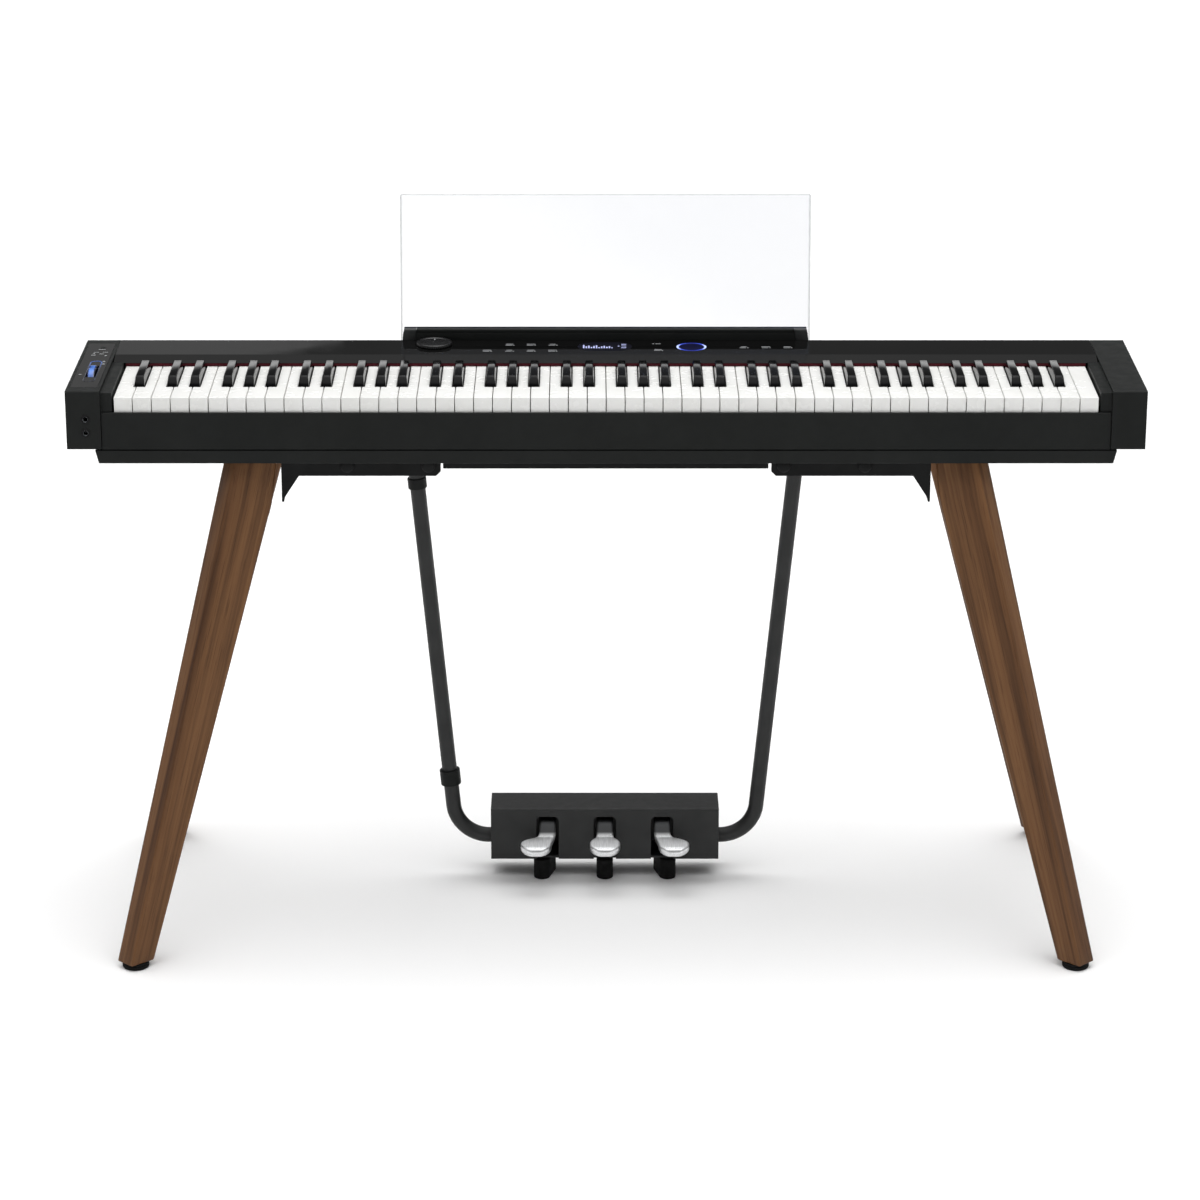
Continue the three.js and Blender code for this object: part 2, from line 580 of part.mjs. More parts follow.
function addFrontRail() {
  const y = -HALF_DEPTH + RAIL_SETBACK;
  const z = CAP_BOTTOM_Z - RAIL_DROP;
  const half = BETWEEN_CAPS / 2;
  const rail = alongX([[y, z], [y + RAIL_FLANGE, z], [y + RAIL_FLANGE, z + 1],
    [y + RAIL_THICKNESS, z + 1], [y + RAIL_THICKNESS, z + RAIL_HEIGHT], [y + 1, z + RAIL_HEIGHT],
    [y, z + RAIL_HEIGHT - 1]], -half, half);
  add('front_rail', rail, caseBlack);
}

function addTopPanel() {
  const half = BETWEEN_CAPS / 2;
  const rear = HALF_DEPTH - CAP_CHAMFER;
  const under = TOP_Z - WALL;
  const plate = alongX([[PANEL_FRONT_Y, PANEL_LIP_Z], [PANEL_FRONT_Y + 3, PANEL_LIP_Z],
    [PANEL_FLAT_Y + 3, under], [HALF_DEPTH, under], [HALF_DEPTH, TOP_Z - CAP_CHAMFER], [rear, TOP_Z],
    [PANEL_FLAT_Y, TOP_Z]], -half, half);
  const hole = rod('z', SPINDLE_R + HOLE_CLEARANCE, under - 1, TOP_Z + 1, [KNOB_X, KNOB_Y]);
  add('top_panel', cut(plate, hole), panelGloss);

  const felt = block(-KEYS_HALF, KEYS_HALF, PANEL_FRONT_Y + GAP, PANEL_FRONT_Y + GAP + FELT_THICKNESS,
    WHITE_TOP_Z + FELT_KEY_CLEARANCE, PANEL_LIP_Z - GAP);
  add('felt_strip', felt, feltRed);
}

function addVolumeKnob() {
  const r = KNOB_D / 2;
  const base = TOP_Z + GAP;
  const top = base + KNOB_HEIGHT;
  const low = base - SPINDLE_LENGTH;
  const profile = [[0, low], [SPINDLE_R, low], [SPINDLE_R, base], [r, base], [r, top - KNOB_CHAMFER],
    [r - KNOB_CHAMFER, top], [r - KNOB_RIM, top], [r - KNOB_RIM - 1, top - KNOB_DISH], [0, top - KNOB_DISH]];
  const geometry = new THREE.LatheGeometry(profile.map(([x, y]) => new THREE.Vector2(x, y)), 48);
  geometry.rotateX(Math.PI / 2).translate(KNOB_X, KNOB_Y, 0);
  add('volume_knob', toSolid(geometry), panelGloss);
}

function addRearPanel() {
  const half = BETWEEN_CAPS / 2;
  const panel = block(-half, half, HALF_DEPTH - WALL, HALF_DEPTH, CAP_BOTTOM_Z, TOP_Z - WALL - GAP);
  const inlet = rod('y', SOCKET_R + HOLE_CLEARANCE, HALF_DEPTH - WALL - 1, HALF_DEPTH + 1,
    [INLET_X, TOP_Z - INLET_DROP]);
  const [width, height] = GRILLE_SLOT;
  const slots = [-SPEAKER_X, SPEAKER_X].flatMap((x) => Array.from({ length: GRILLE_SLOTS }, (_, i) => {
    const middle = x + (i - (GRILLE_SLOTS - 1) / 2) * GRILLE_PITCH;
    return block(middle - width / 2, middle + width / 2, HALF_DEPTH - WALL - 1, HALF_DEPTH + 1,
      speakerZ() - height / 2, speakerZ() + height / 2);
  }));
  add('rear_panel', cut(panel, inlet, ...slots), caseBlack);
}

const speakerZ = () => (CAP_BOTTOM_Z + TOP_Z) / 2;

/** Driver with a wide frame at the rear panel and a magnet behind it. */
function addSpeakers() {
  const face = HALF_DEPTH - WALL - GAP;
  const r = SPEAKER_R;
  const profile = [[0, face - SPEAKER_DEPTH], [r * 0.55, face - SPEAKER_DEPTH],
    [r * 0.55, face - SPEAKER_DEPTH + 11], [r * 0.88, face - 3], [r, face - 3], [r, face],
    [r * 0.8, face], [r * 0.3, face - 10], [0, face - 8]];
  for (const [name, x] of [['speaker_left', -SPEAKER_X], ['speaker_right', SPEAKER_X]]) {
    const geometry = new THREE.LatheGeometry(profile.map(([u, v]) => new THREE.Vector2(u, v)), 28);
    geometry.translate(x, 0, speakerZ());
    add(name, toSolid(geometry), steelBlack);
  }
}

// ---- music rest ----
const REST_LEAN = THREE.MathUtils.degToRad(REST_LEAN_DEG);
const LEDGE_FRONT_Y = HALF_DEPTH + GAP;
const LEDGE_BOTTOM_Z = TOP_Z - LEDGE_DROP;
const REST_FOOT_Y = LEDGE_FRONT_Y + LEDGE_LIP + REST_CLEARANCE;
const REST_FOOT_Z = LEDGE_BOTTOM_Z + LEDGE_FLOOR + REST_CLEARANCE;

/** The leaning sheet, grown by a clearance; its lower front edge is the fixed line. */
function restSheet(width, clearance, height) {
  const geometry = new THREE.BoxGeometry(width, REST_THICKNESS + 2 * clearance, height + clearance);
  geometry.translate(0, REST_THICKNESS / 2, (height - clearance) / 2);
  geometry.rotateX(-REST_LEAN);
  geometry.translate(0, REST_FOOT_Y, REST_FOOT_Z + REST_THICKNESS * Math.sin(REST_LEAN));
  return toSolid(geometry);
}

/** Clear sheet, and the bar behind the housing whose slot it stands in. */
function addMusicRest() {
  add('music_rest', restSheet(REST_WIDTH, 0, REST_HEIGHT), clearAcrylic);
  const top = TOP_Z + LEDGE_RISE;
  const rear = LEDGE_FRONT_Y + LEDGE_DEPTH;
  const c = LEDGE_CHAMFER;
  const bar = alongX([[LEDGE_FRONT_Y, LEDGE_BOTTOM_Z], [rear, LEDGE_BOTTOM_Z], [rear, top - c],
    [rear - c, top], [LEDGE_FRONT_Y + c, top], [LEDGE_FRONT_Y, top - c]], -LEDGE_WIDTH / 2, LEDGE_WIDTH / 2);
  const foot = LEDGE_WIDTH / 2;
  const head = foot - LEDGE_END_SLANT;
  const ends = alongY([[-foot, LEDGE_BOTTOM_Z - 1], [foot, LEDGE_BOTTOM_Z - 1], [foot, TOP_Z],
    [head, top + 1], [-head, top + 1], [-foot, TOP_Z]], LEDGE_FRONT_Y - 1, rear + 1);
  const slot = restSheet(LEDGE_WIDTH + 20, REST_CLEARANCE, REST_HEIGHT);
  add('music_rest_ledge', cut(bar.intersect(ends), slot), caseBlack);
}

// ---- stand ----
/** Front right leg: a four-cornered post that splays outwards and forwards. */
function leg() {
  const order = ['outer', 'ridge', 'inner', 'back'];
  const footZ = GLIDE_HEIGHT + GAP;
  const share = (LEG_KINK_Z - footZ) / (LEG_TOP_Z - footZ);
  const between = (a, b) => a + (b - a) * share;
  const ring = (corners, z) => order.map((name) => {
    const [outwards, forwards] = corners[name];
    return [HALF_WIDTH + outwards, -HALF_DEPTH - forwards, z];
  }).reverse();
  const kink = Object.fromEntries(order.map((name) => [name,
    [between(LEG_FOOT[name][0], LEG_HEAD[name][0]), between(LEG_FOOT[name][1], LEG_HEAD[name][1])]]));
  kink.inner = LEG_INNER_AT_KINK;
  return loft([ring(LEG_FOOT, footZ), ring(kink, LEG_KINK_Z), ring(LEG_HEAD, LEG_TOP_Z)]);
}

/** Foot glide under the middle of a leg's foot. */
function glide() {
  const [x, y] = ['outer', 'inner'].map((name) => LEG_FOOT[name])
    .reduce(([sx, sy], [cx, cy]) => [sx + cx / 2, sy + cy / 2], [HALF_WIDTH, HALF_DEPTH]);
  const profile = [[0, 0], [GLIDE_R - 2, 0], [GLIDE_R, 2], [GLIDE_R, GLIDE_HEIGHT], [0, GLIDE_HEIGHT]];
  const geometry = new THREE.LatheGeometry(profile.map(([r, z]) => new THREE.Vector2(r, z)), 28);
  geometry.rotateX(Math.PI / 2).translate(x, -y, 0);
  return toSolid(geometry);
}

function addLegs() {
  for (const [end, turnY] of [['front', (s) => s], ['rear', mirrorY]]) {
    for (const [side, turnX] of [['right', (s) => s], ['left', mirrorX]]) {
      add(`leg_${end}_${side}`, turnX(turnY(leg())), walnut);
      add(`glide_${end}_${side}`, turnX(turnY(glide())), rubberBlack);
    }
  }
}

/** Right bracket: a folded plate under the tray with an end plate between the two legs. */
function bracket() {
  const top = TRAY_BOTTOM_Z - GAP;
  const outer = BRACKET_OUTER_X;
  const y = BRACKET_HALF_DEPTH;
  const w = BRACKET_WALL;
  const skirt = [[BRACKET_INNER_X, top], [BRACKET_INNER_X, top - BRACKET_HEIGHT + BRACKET_CORNER],
    [BRACKET_INNER_X + BRACKET_CORNER, top - BRACKET_HEIGHT], [outer - GUSSET_WIDTH, top - BRACKET_HEIGHT],
    [outer, top - BRACKET_HEIGHT - GUSSET_DROP], [outer, top]];
  return join(block(BRACKET_INNER_X, outer, -y, y, top - w, top),
    alongY(skirt, -y, -y + w), alongY(skirt, y - w, y),
    block(outer - w, outer, -y, y, top - BRACKET_HEIGHT - GUSSET_DROP, top));
}

function addStandFrame() {
  add('bracket_right', bracket(), steelBlack);
  add('bracket_left', mirrorX(bracket()), steelBlack);
  const top = TRAY_BOTTOM_Z - GAP;
  const half = BRACKET_INNER_X - GAP;
  add('cross_bar', block(-half, half, -CROSS_BAR_DEPTH / 2, CROSS_BAR_DEPTH / 2,
    top - CROSS_BAR_HEIGHT, top), steelBlack);
  const z = TRAY_BOTTOM_Z - GAP - CLAMP_KNOB_R;
  const names = ['inner', 'outer'];
  const face = -BRACKET_HALF_DEPTH - GAP;
  for (const [side, sign] of [['left', -1], ['right', 1]]) {
    CLAMP_KNOB_SHARES.forEach((share, i) => {
      const x = sign * (BRACKET_INNER_X + share * (BRACKET_OUTER_X - BRACKET_INNER_X));
      add(`clamp_knob_${names[i]}_${side}`,
        rod('y', CLAMP_KNOB_R, face - CLAMP_KNOB_DEPTH, face, [x, z], 20), steelBlack);
    });
  }
}

// ---- pedal unit ----
/** Direction of the tube's straight part and its corner above the bend. */
function tubePath() {
  const top = new THREE.Vector3(BRACKET_INNER_X + TUBE_TOP_PLACE, TUBE_Y,
    TRAY_BOTTOM_Z - GAP - BRACKET_WALL - GAP);
  const corner = new THREE.Vector3(BOX_WIDTH / 2 + TUBE_SPREAD, TUBE_Y, TUBE_LOW_Z);
  const end = new THREE.Vector3(BOX_WIDTH / 2 + GAP, TUBE_Y, TUBE_LOW_Z);
  const down = corner.clone().sub(top).normalize();
  const inward = end.clone().sub(corner).normalize();
  const turn = Math.acos(down.dot(inward));
  const trim = TUBE_BEND_R * Math.tan(turn / 2);
  return { top, corner, end, down, inward, turn, trim };
}

/** Right support tube: straight down, then one bend into the side of the pedal box. */
function supportTube() {
  const { top, corner, end, down, inward, turn, trim } = tubePath();
  const bendStart = corner.clone().addScaledVector(down, -trim);
  const centre = bendStart.clone().addScaledVector(
    inward.clone().addScaledVector(down, -inward.dot(down)).normalize(), TUBE_BEND_R);
  const axis = new THREE.Vector3().crossVectors(down, inward).normalize();
  const spoke = bendStart.clone().sub(centre);
  const bendSteps = 8;
  const points = [top.clone().addScaledVector(down, -TUBE_R)];
  for (let step = 0; step <= bendSteps; step += 1) {
    points.push(spoke.clone().applyAxisAngle(axis, turn * step / bendSteps).add(centre));
  }
  if (points.at(-1).distanceTo(end) > 0.5) points.push(end);
  const sides = 16;
  const rings = points.map((point, i) => {
    const back = i > 0 ? point.clone().sub(points[i - 1]).normalize() : down;
    const ahead = i + 1 < points.length ? points[i + 1].clone().sub(point).normalize() : back;
    const tangent = back.clone().add(ahead).normalize();
    const u = axis.clone();
    const v = new THREE.Vector3().crossVectors(tangent, u).normalize();
    return Array.from({ length: sides }, (_, k) => {
      const angle = 2 * Math.PI * k / sides;
      return point.clone().addScaledVector(u, TUBE_R * Math.cos(angle))
        .addScaledVector(v, TUBE_R * Math.sin(angle)).toArray();
    });
  });
  const above = block(top.x - 3 * TUBE_R, top.x + 3 * TUBE_R, TUBE_Y - 2 * TUBE_R, TUBE_Y + 2 * TUBE_R,
    top.z, top.z + 3 * TUBE_R);
  return cut(loft(rings), above);
}

/** Band around the left tube at one height. */
function cableClip({ z, height, wall }) {
  const { top, down } = tubePath();
  const ringOf = (inner, outer) => {
    const profile = [[inner, -height / 2], [outer, -height / 2], [outer, height / 2], [inner, height / 2],
      [inner, -height / 2]];
    return new THREE.LatheGeometry(profile.map(([r, y]) => new THREE.Vector2(r, y)), 24);
  };
  const geometry = ringOf(TUBE_R + GAP, TUBE_R + GAP + wall);
  geometry.applyQuaternion(new THREE.Quaternion().setFromUnitVectors(new THREE.Vector3(0, -1, 0), down));
  const place = top.clone().addScaledVector(down, (top.z - z) / -down.z);
  geometry.translate(place.x, place.y, place.z);
  return mirrorX(toSolid(geometry));
}

function slotOutline(x, low, high) {
  const half = SLOT_WIDTH / 2;
  const r = SLOT_CORNER;
  const shape = new THREE.Shape();
  shape.moveTo(x - half, low);
  shape.lineTo(x + half, low);
  shape.lineTo(x + half, high - r);
  shape.absarc(x + half - r, high - r, r, 0, Math.PI / 2);
  shape.lineTo(x - half + r, high);
  shape.absarc(x - half + r, high - r, r, Math.PI / 2, Math.PI);
  return shape;
}

const PEDALS = [['left', -1], ['middle', 0], ['right', 1]];

function addPedalBox() {
  const half = BOX_WIDTH / 2;
  const rear = BOX_FRONT_Y + BOX_DEPTH;
  const top = BOX_BOTTOM_Z + BOX_HEIGHT;
  const c = BOX_CHAMFER;
  const outline = [[BOX_FRONT_Y, BOX_BOTTOM_Z], [rear, BOX_BOTTOM_Z], [rear, top - c], [rear - c, top],
    [BOX_FRONT_Y + c, top], [BOX_FRONT_Y, top - c]];
  const shell = cut(alongX(outline, -half, half), block(-half + WALL, half - WALL, BOX_FRONT_Y + WALL,
    rear - WALL, BOX_BOTTOM_Z + WALL, top - WALL));
  const slots = PEDALS.map(([, sign]) => alongY(slotOutline(sign * PEDAL_SPACING, BOX_BOTTOM_Z - 1,
    top - SLOT_TOP_DROP), BOX_FRONT_Y - 1, BOX_FRONT_Y + WALL + 1));
  const shaft = rod('x', PEDAL_SHAFT_R, -half + 1, half - 1, [PEDAL_SHAFT_Y, PEDAL_SHAFT_Z], 20);
  add('pedal_box', join(cut(shell, ...slots), shaft), caseBlack);
}

/** One pedal: an arm hung on the shaft, dropping in front of the box to a broad spoon. */
function pedal(sign) {
  const x = sign * PEDAL_SPACING;
  const tipX = x + sign * PEDAL_SPLAY;
  const tip = PEDAL_TIP_Y;
  const front = BOX_FRONT_Y;
  const z = PEDAL_SHAFT_Z;
  const side = new THREE.Shape();
  side.moveTo(PEDAL_SHAFT_Y + 8, z - 7);
  side.lineTo(PEDAL_SHAFT_Y + 8, z + 7);
  side.lineTo(front + 10, z + 6);
  side.bezierCurveTo(front, z + 6, front - 3, z - 10, front - 12, z - 12);
  side.lineTo(tip + 4, z - 13);
  side.quadraticCurveTo(tip, z - 13.5, tip, z - 18);
  side.quadraticCurveTo(tip, z - 25, tip + 7, z - 25);
  side.lineTo(front - 10, z - 21);
  side.bezierCurveTo(front - 2, z - 20, front, z - 6, front + 10, z - 6);
  side.closePath();
  const arm = PEDAL_ARM_WIDTH / 2;
  const spoon = PEDAL_SPOON_WIDTH / 2;
  const corner = 10;
  const plan = new THREE.Shape();
  plan.moveTo(x - arm, PEDAL_SHAFT_Y + 9);
  plan.lineTo(x - arm, front - 3);
  plan.bezierCurveTo(x - arm, front - 13, tipX - spoon, front - 11, tipX - spoon, front - 27);
  plan.lineTo(tipX - spoon, tip - 1 + corner);
  plan.quadraticCurveTo(tipX - spoon, tip - 1, tipX - spoon + corner, tip - 1);
  plan.lineTo(tipX + spoon - corner, tip - 1);
  plan.quadraticCurveTo(tipX + spoon, tip - 1, tipX + spoon, tip - 1 + corner);
  plan.lineTo(tipX + spoon, front - 27);
  plan.bezierCurveTo(tipX + spoon, front - 11, x + arm, front - 13, x + arm, front - 3);
  plan.lineTo(x + arm, PEDAL_SHAFT_Y + 9);
  plan.closePath();
  const reach = BOX_WIDTH / 2;
  const body = alongX(side, -reach, reach, 6).intersect(alongZ(plan, z - 40, z + 20, 6));
  return cut(body, rod('x', PEDAL_SHAFT_R + GAP, -reach, reach, [PEDAL_SHAFT_Y, PEDAL_SHAFT_Z], 20));
}

/** Rounded post under the front of the box, in line with its pedal. */
function pedalFoot(sign) {
  const r = PEDAL_FOOT_R;
  const shape = new THREE.Shape();
  shape.absarc(0, 0, r, Math.PI, 2 * Math.PI);
  shape.lineTo(r, PEDAL_FOOT_REACH);
  shape.absarc(0, PEDAL_FOOT_REACH, r, 0, Math.PI);
  const geometry = extrude(shape, BOX_BOTTOM_Z - GAP, 10);
  geometry.rotateZ(sign * Math.atan2(PEDAL_SPLAY / 2, PEDAL_FOOT_REACH));
  geometry.translate(sign * (PEDAL_SPACING + PEDAL_SPLAY / 2), PEDAL_FOOT_Y, 0);
  return toSolid(geometry);
}

function addPedalUnit() {
  addPedalBox();
  for (const [name, sign] of PEDALS) {
    add(`pedal_${name}`, pedal(sign), chrome);
    add(`pedal_foot_${name}`, pedalFoot(sign), rubberBlack);
  }
  add('pedal_tube_right', supportTube(), steelBlack);
  add('pedal_tube_left', mirrorX(supportTube()), steelBlack);
  CLIPS.forEach((clip) => add(clip.name, cableClip(clip), caseBlack));
}

addTray();
addKeyChassis();
addKeys();
addEndCaps();
addPitchWheel();
addSockets();
addFrontRail();
addTopPanel();
addVolumeKnob();
addRearPanel();
addSpeakers();
addBoard();
addMusicRest();
addLegs();
addStandFrame();
addPedalUnit();

export default piano;
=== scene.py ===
import json
import math

import bmesh
import bpy
import numpy as np
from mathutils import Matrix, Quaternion, Vector

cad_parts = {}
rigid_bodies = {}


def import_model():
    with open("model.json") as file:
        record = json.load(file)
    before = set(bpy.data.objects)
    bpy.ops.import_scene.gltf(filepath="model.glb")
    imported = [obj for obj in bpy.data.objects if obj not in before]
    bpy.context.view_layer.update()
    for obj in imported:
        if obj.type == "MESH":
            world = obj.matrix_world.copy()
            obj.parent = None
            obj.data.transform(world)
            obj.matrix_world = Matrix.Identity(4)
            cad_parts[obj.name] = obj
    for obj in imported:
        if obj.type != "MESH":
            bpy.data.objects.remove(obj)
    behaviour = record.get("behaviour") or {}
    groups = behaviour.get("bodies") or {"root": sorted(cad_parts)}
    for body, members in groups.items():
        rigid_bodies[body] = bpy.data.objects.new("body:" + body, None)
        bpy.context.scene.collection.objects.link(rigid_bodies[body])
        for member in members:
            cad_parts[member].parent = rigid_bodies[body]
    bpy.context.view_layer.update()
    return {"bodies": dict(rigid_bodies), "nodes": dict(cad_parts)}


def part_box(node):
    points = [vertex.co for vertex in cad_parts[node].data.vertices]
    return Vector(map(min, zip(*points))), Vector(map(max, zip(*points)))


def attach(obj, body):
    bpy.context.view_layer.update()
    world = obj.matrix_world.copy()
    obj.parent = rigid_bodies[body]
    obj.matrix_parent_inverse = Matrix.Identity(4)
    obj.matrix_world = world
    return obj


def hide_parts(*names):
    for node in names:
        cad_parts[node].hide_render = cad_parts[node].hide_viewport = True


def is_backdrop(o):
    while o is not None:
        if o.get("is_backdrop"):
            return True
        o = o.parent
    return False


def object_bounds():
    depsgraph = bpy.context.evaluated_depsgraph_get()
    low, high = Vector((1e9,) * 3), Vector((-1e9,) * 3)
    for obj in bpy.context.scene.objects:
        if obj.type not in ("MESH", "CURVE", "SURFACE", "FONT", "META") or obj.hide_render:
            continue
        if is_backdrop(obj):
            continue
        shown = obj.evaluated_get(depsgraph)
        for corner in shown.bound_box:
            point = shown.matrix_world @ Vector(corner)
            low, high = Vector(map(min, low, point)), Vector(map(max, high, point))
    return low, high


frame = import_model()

MM = 0.001

# ---- Camera -----------------------------------------------------------------------------
# A long lens looking down at the keyboard from in front, a little left of the middle.
CAMERA_AT = (-0.02365, -4.7908, 2.0690)
CAMERA_DOWN = math.radians(19.044)
LENS, SENSOR, SHIFT_X, FAR = 117.71, 36, 0.01073, 100
camera_data = bpy.data.cameras.new("camera")
camera_data.sensor_width = SENSOR
camera_data.lens = LENS
camera_data.shift_x = SHIFT_X
camera_data.clip_end = FAR
camera = bpy.data.objects.new("camera", camera_data)
camera.location = CAMERA_AT
camera.rotation_euler = (math.pi / 2 - CAMERA_DOWN, 0, 0)
bpy.context.scene.collection.objects.link(camera)
bpy.context.scene.camera = camera


# ---- Studio -----------------------------------------------------------------------------
# A white floor under a sky that is bright overhead, pale at the horizon and dark between, as
# in a studio with black flags. A soft box overhead shapes the shadows, and a tilted one far
# behind shows as a pale wedge in the polished panel.
def linear(red, green, blue):
    """Display colour from 0 to 255 turned into the light that a shader works in: a power of
    2.4 above a short straight toe."""
    c = np.array([red, green, blue]) / 255
    return (*np.where(c <= 0.04045, c / 12.92, ((c + 0.055) / 1.055) ** 2.4), 1.0)


class Finish:
    """A material and its Principled shader, with short ways to add and join nodes."""

    def __init__(self, name, colour, roughness, metallic=0.0):
        self.material = bpy.data.materials.new(name)
        self.material.use_nodes = True
        self.tree = self.material.node_tree
        self.shader = self.tree.nodes["Principled BSDF"]
        self.set(**{"Base Color": colour, "Roughness": roughness, "Metallic": metallic})

    def set(self, **sockets):
        """Fixed values on the shader's own sockets."""
        for name, value in sockets.items():
            self.shader.inputs[name].default_value = value
        return self

    def node(self, kind, inputs=None, **settings):
        node = self.tree.nodes.new(kind)
        for name, value in settings.items():
            setattr(node, name, value)
        for name, value in (inputs or {}).items():
            node.inputs[name].default_value = value
        return node

    def join(self, source, target):
        self.tree.links.new(source, target)
        return self

    def place(self):
        """The piece's own X, Y and Z in metres, as separate outputs."""
        split = self.node("ShaderNodeSeparateXYZ")
        self.join(self.node("ShaderNodeTexCoord").outputs["Object"], split.inputs["Vector"])
        return split.outputs

    def along(self, value, start, end, low=0.0, high=1.0):
        """A value from start to end spread evenly over low to high, and held beyond them."""
        spread = self.node("ShaderNodeMapRange", {"From Min": start, "From Max": end,
                                                  "To Min": low, "To Max": high})
        self.join(value, spread.inputs["Value"])
        return spread.outputs["Result"]

    def maths(self, operation, *values):
        """A sum of one or two terms, each an output of another node or a plain number."""
        sum_node = self.node("ShaderNodeMath", operation=operation)
        for count, value in enumerate(values):
            if isinstance(value, (int, float)):
                sum_node.inputs[count].default_value = value
            else:
                self.join(value, sum_node.inputs[count])
        return sum_node.outputs[0]

    def noise(self, scale, detail=3.0, stretch=(1, 1, 1), attribute=None, **inputs):
        """Noise over the piece's own place in metres, or over a stored vector."""
        place = self.node("ShaderNodeTexCoord").outputs["Object"]
        if attribute:
            place = self.node("ShaderNodeAttribute", attribute_name=attribute).outputs["Vector"]
        mapping = self.node("ShaderNodeMapping", {"Scale": stretch})
        noise = self.node("ShaderNodeTexNoise", {"Scale": scale, "Detail": detail, **inputs})
        self.join(place, mapping.inputs["Vector"])
        self.join(mapping.outputs["Vector"], noise.inputs["Vector"])
        return noise.outputs["Fac"]

    def ramp(self, value, stops):
        """Colours or greys placed along a value."""
        owner = self.node("ShaderNodeValToRGB")
        ramp = owner.color_ramp
        while len(ramp.elements) < len(stops):
            ramp.elements.new(0.5)
        for element, (place, colour) in zip(ramp.elements, stops):
            element.position, element.color = place, colour
        self.join(value, owner.inputs["Fac"])
        return owner.outputs["Color"]

    def shade(self, value, low, high):
        """Base colour that drifts from low to high with a value."""
        colour = self.ramp(value, [(0.3, low), (0.7, high)])
        return self.join(colour, self.shader.inputs["Base Color"])

    def wear(self, value, low, high):
        """Roughness that drifts from low to high with a value."""
        return self.join(self.along(value, 0.3, 0.7, low, high), self.shader.inputs["Roughness"])

    def relief(self, value, depth, strength=1.0):
        """Bump of a given depth in metres, laid over any relief that is there already."""
        bump = self.node("ShaderNodeBump", {"Strength": strength, "Distance": depth})
        normal = self.shader.inputs["Normal"]
        if normal.is_linked:
            self.join(normal.links[0].from_socket, bump.inputs["Normal"])
        return self.join(value, bump.inputs["Height"]).join(bump.outputs["Normal"], normal)


FLOOR_HALF = 30.0
floor_finish = Finish("floor_white", linear(250, 250, 250), 0.8)
floor_finish.shade(floor_finish.noise(1.2), linear(249, 249, 249), linear(251, 251, 251))
floor_finish.set(**{"Specular IOR Level": 0.0})
floor_mesh = bpy.data.meshes.new("floor")
floor_corners = np.array([[-1, -1, 0], [1, -1, 0], [1, 1, 0], [-1, 1, 0]]) * FLOOR_HALF
floor_mesh.from_pydata(floor_corners.tolist(), [], [(0, 1, 2, 3)])
floor_mesh.materials.append(floor_finish.material)
floor = bpy.data.objects.new("floor", floor_mesh)
bpy.context.scene.collection.objects.link(floor)
floor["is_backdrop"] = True

SKY = 2.5
SKY_TONES = ((0.0, 0.42), (0.13, 0.42), (0.22, 0.035), (0.66, 0.04), (0.8, 0.75), (0.9, 1.0))
world = bpy.data.worlds.new("studio")
world.use_nodes = True
sky = world.node_tree
sky_way = sky.nodes.new("ShaderNodeTexCoord")
sky_height = sky.nodes.new("ShaderNodeSeparateXYZ")
sky_tone = sky.nodes.new("ShaderNodeValToRGB")
tones = sky_tone.color_ramp.elements
while len(tones) < len(SKY_TONES):
    tones.new(0.5)
for tone, (height, grey) in zip(tones, SKY_TONES):
    tone.position, tone.color = height, (grey, grey, grey, 1)
sky.links.new(sky_way.outputs["Generated"], sky_height.inputs[0])
sky.links.new(sky_height.outputs["Z"], sky_tone.inputs["Fac"])
sky.links.new(sky_tone.outputs["Color"], sky.nodes["Background"].inputs["Color"])
sky.nodes["Background"].inputs["Strength"].default_value = SKY
bpy.context.scene.world = world
bpy.context.scene.view_settings.view_transform = "Standard"


def soft_box(name, place, aim, width, height, power, roll=0.0):
    """Rectangular light at place that faces aim, turned by roll about that direction."""
    data = bpy.data.lights.new(name, "AREA")
    data.shape = "RECTANGLE"
    data.size, data.size_y, data.energy = width, height, power
    light = bpy.data.objects.new(name, data)
    light.location = place
    way = (Vector(aim) - Vector(place)).to_track_quat("-Z", "Y")
    light.rotation_euler = (way @ Quaternion((0, 0, 1), roll)).to_euler()
    light.visible_camera = False
    bpy.context.scene.collection.objects.link(light)


soft_box("box_over", (0.2, 0.2, 3.2), (0, 0, 0.5), 2.4, 1.6, 28)
soft_box("box_behind", (-1.345, 4.0, 1.593), (-1.345, 0, 1.593), 1.4, 0.7, 0.75, math.radians(12))

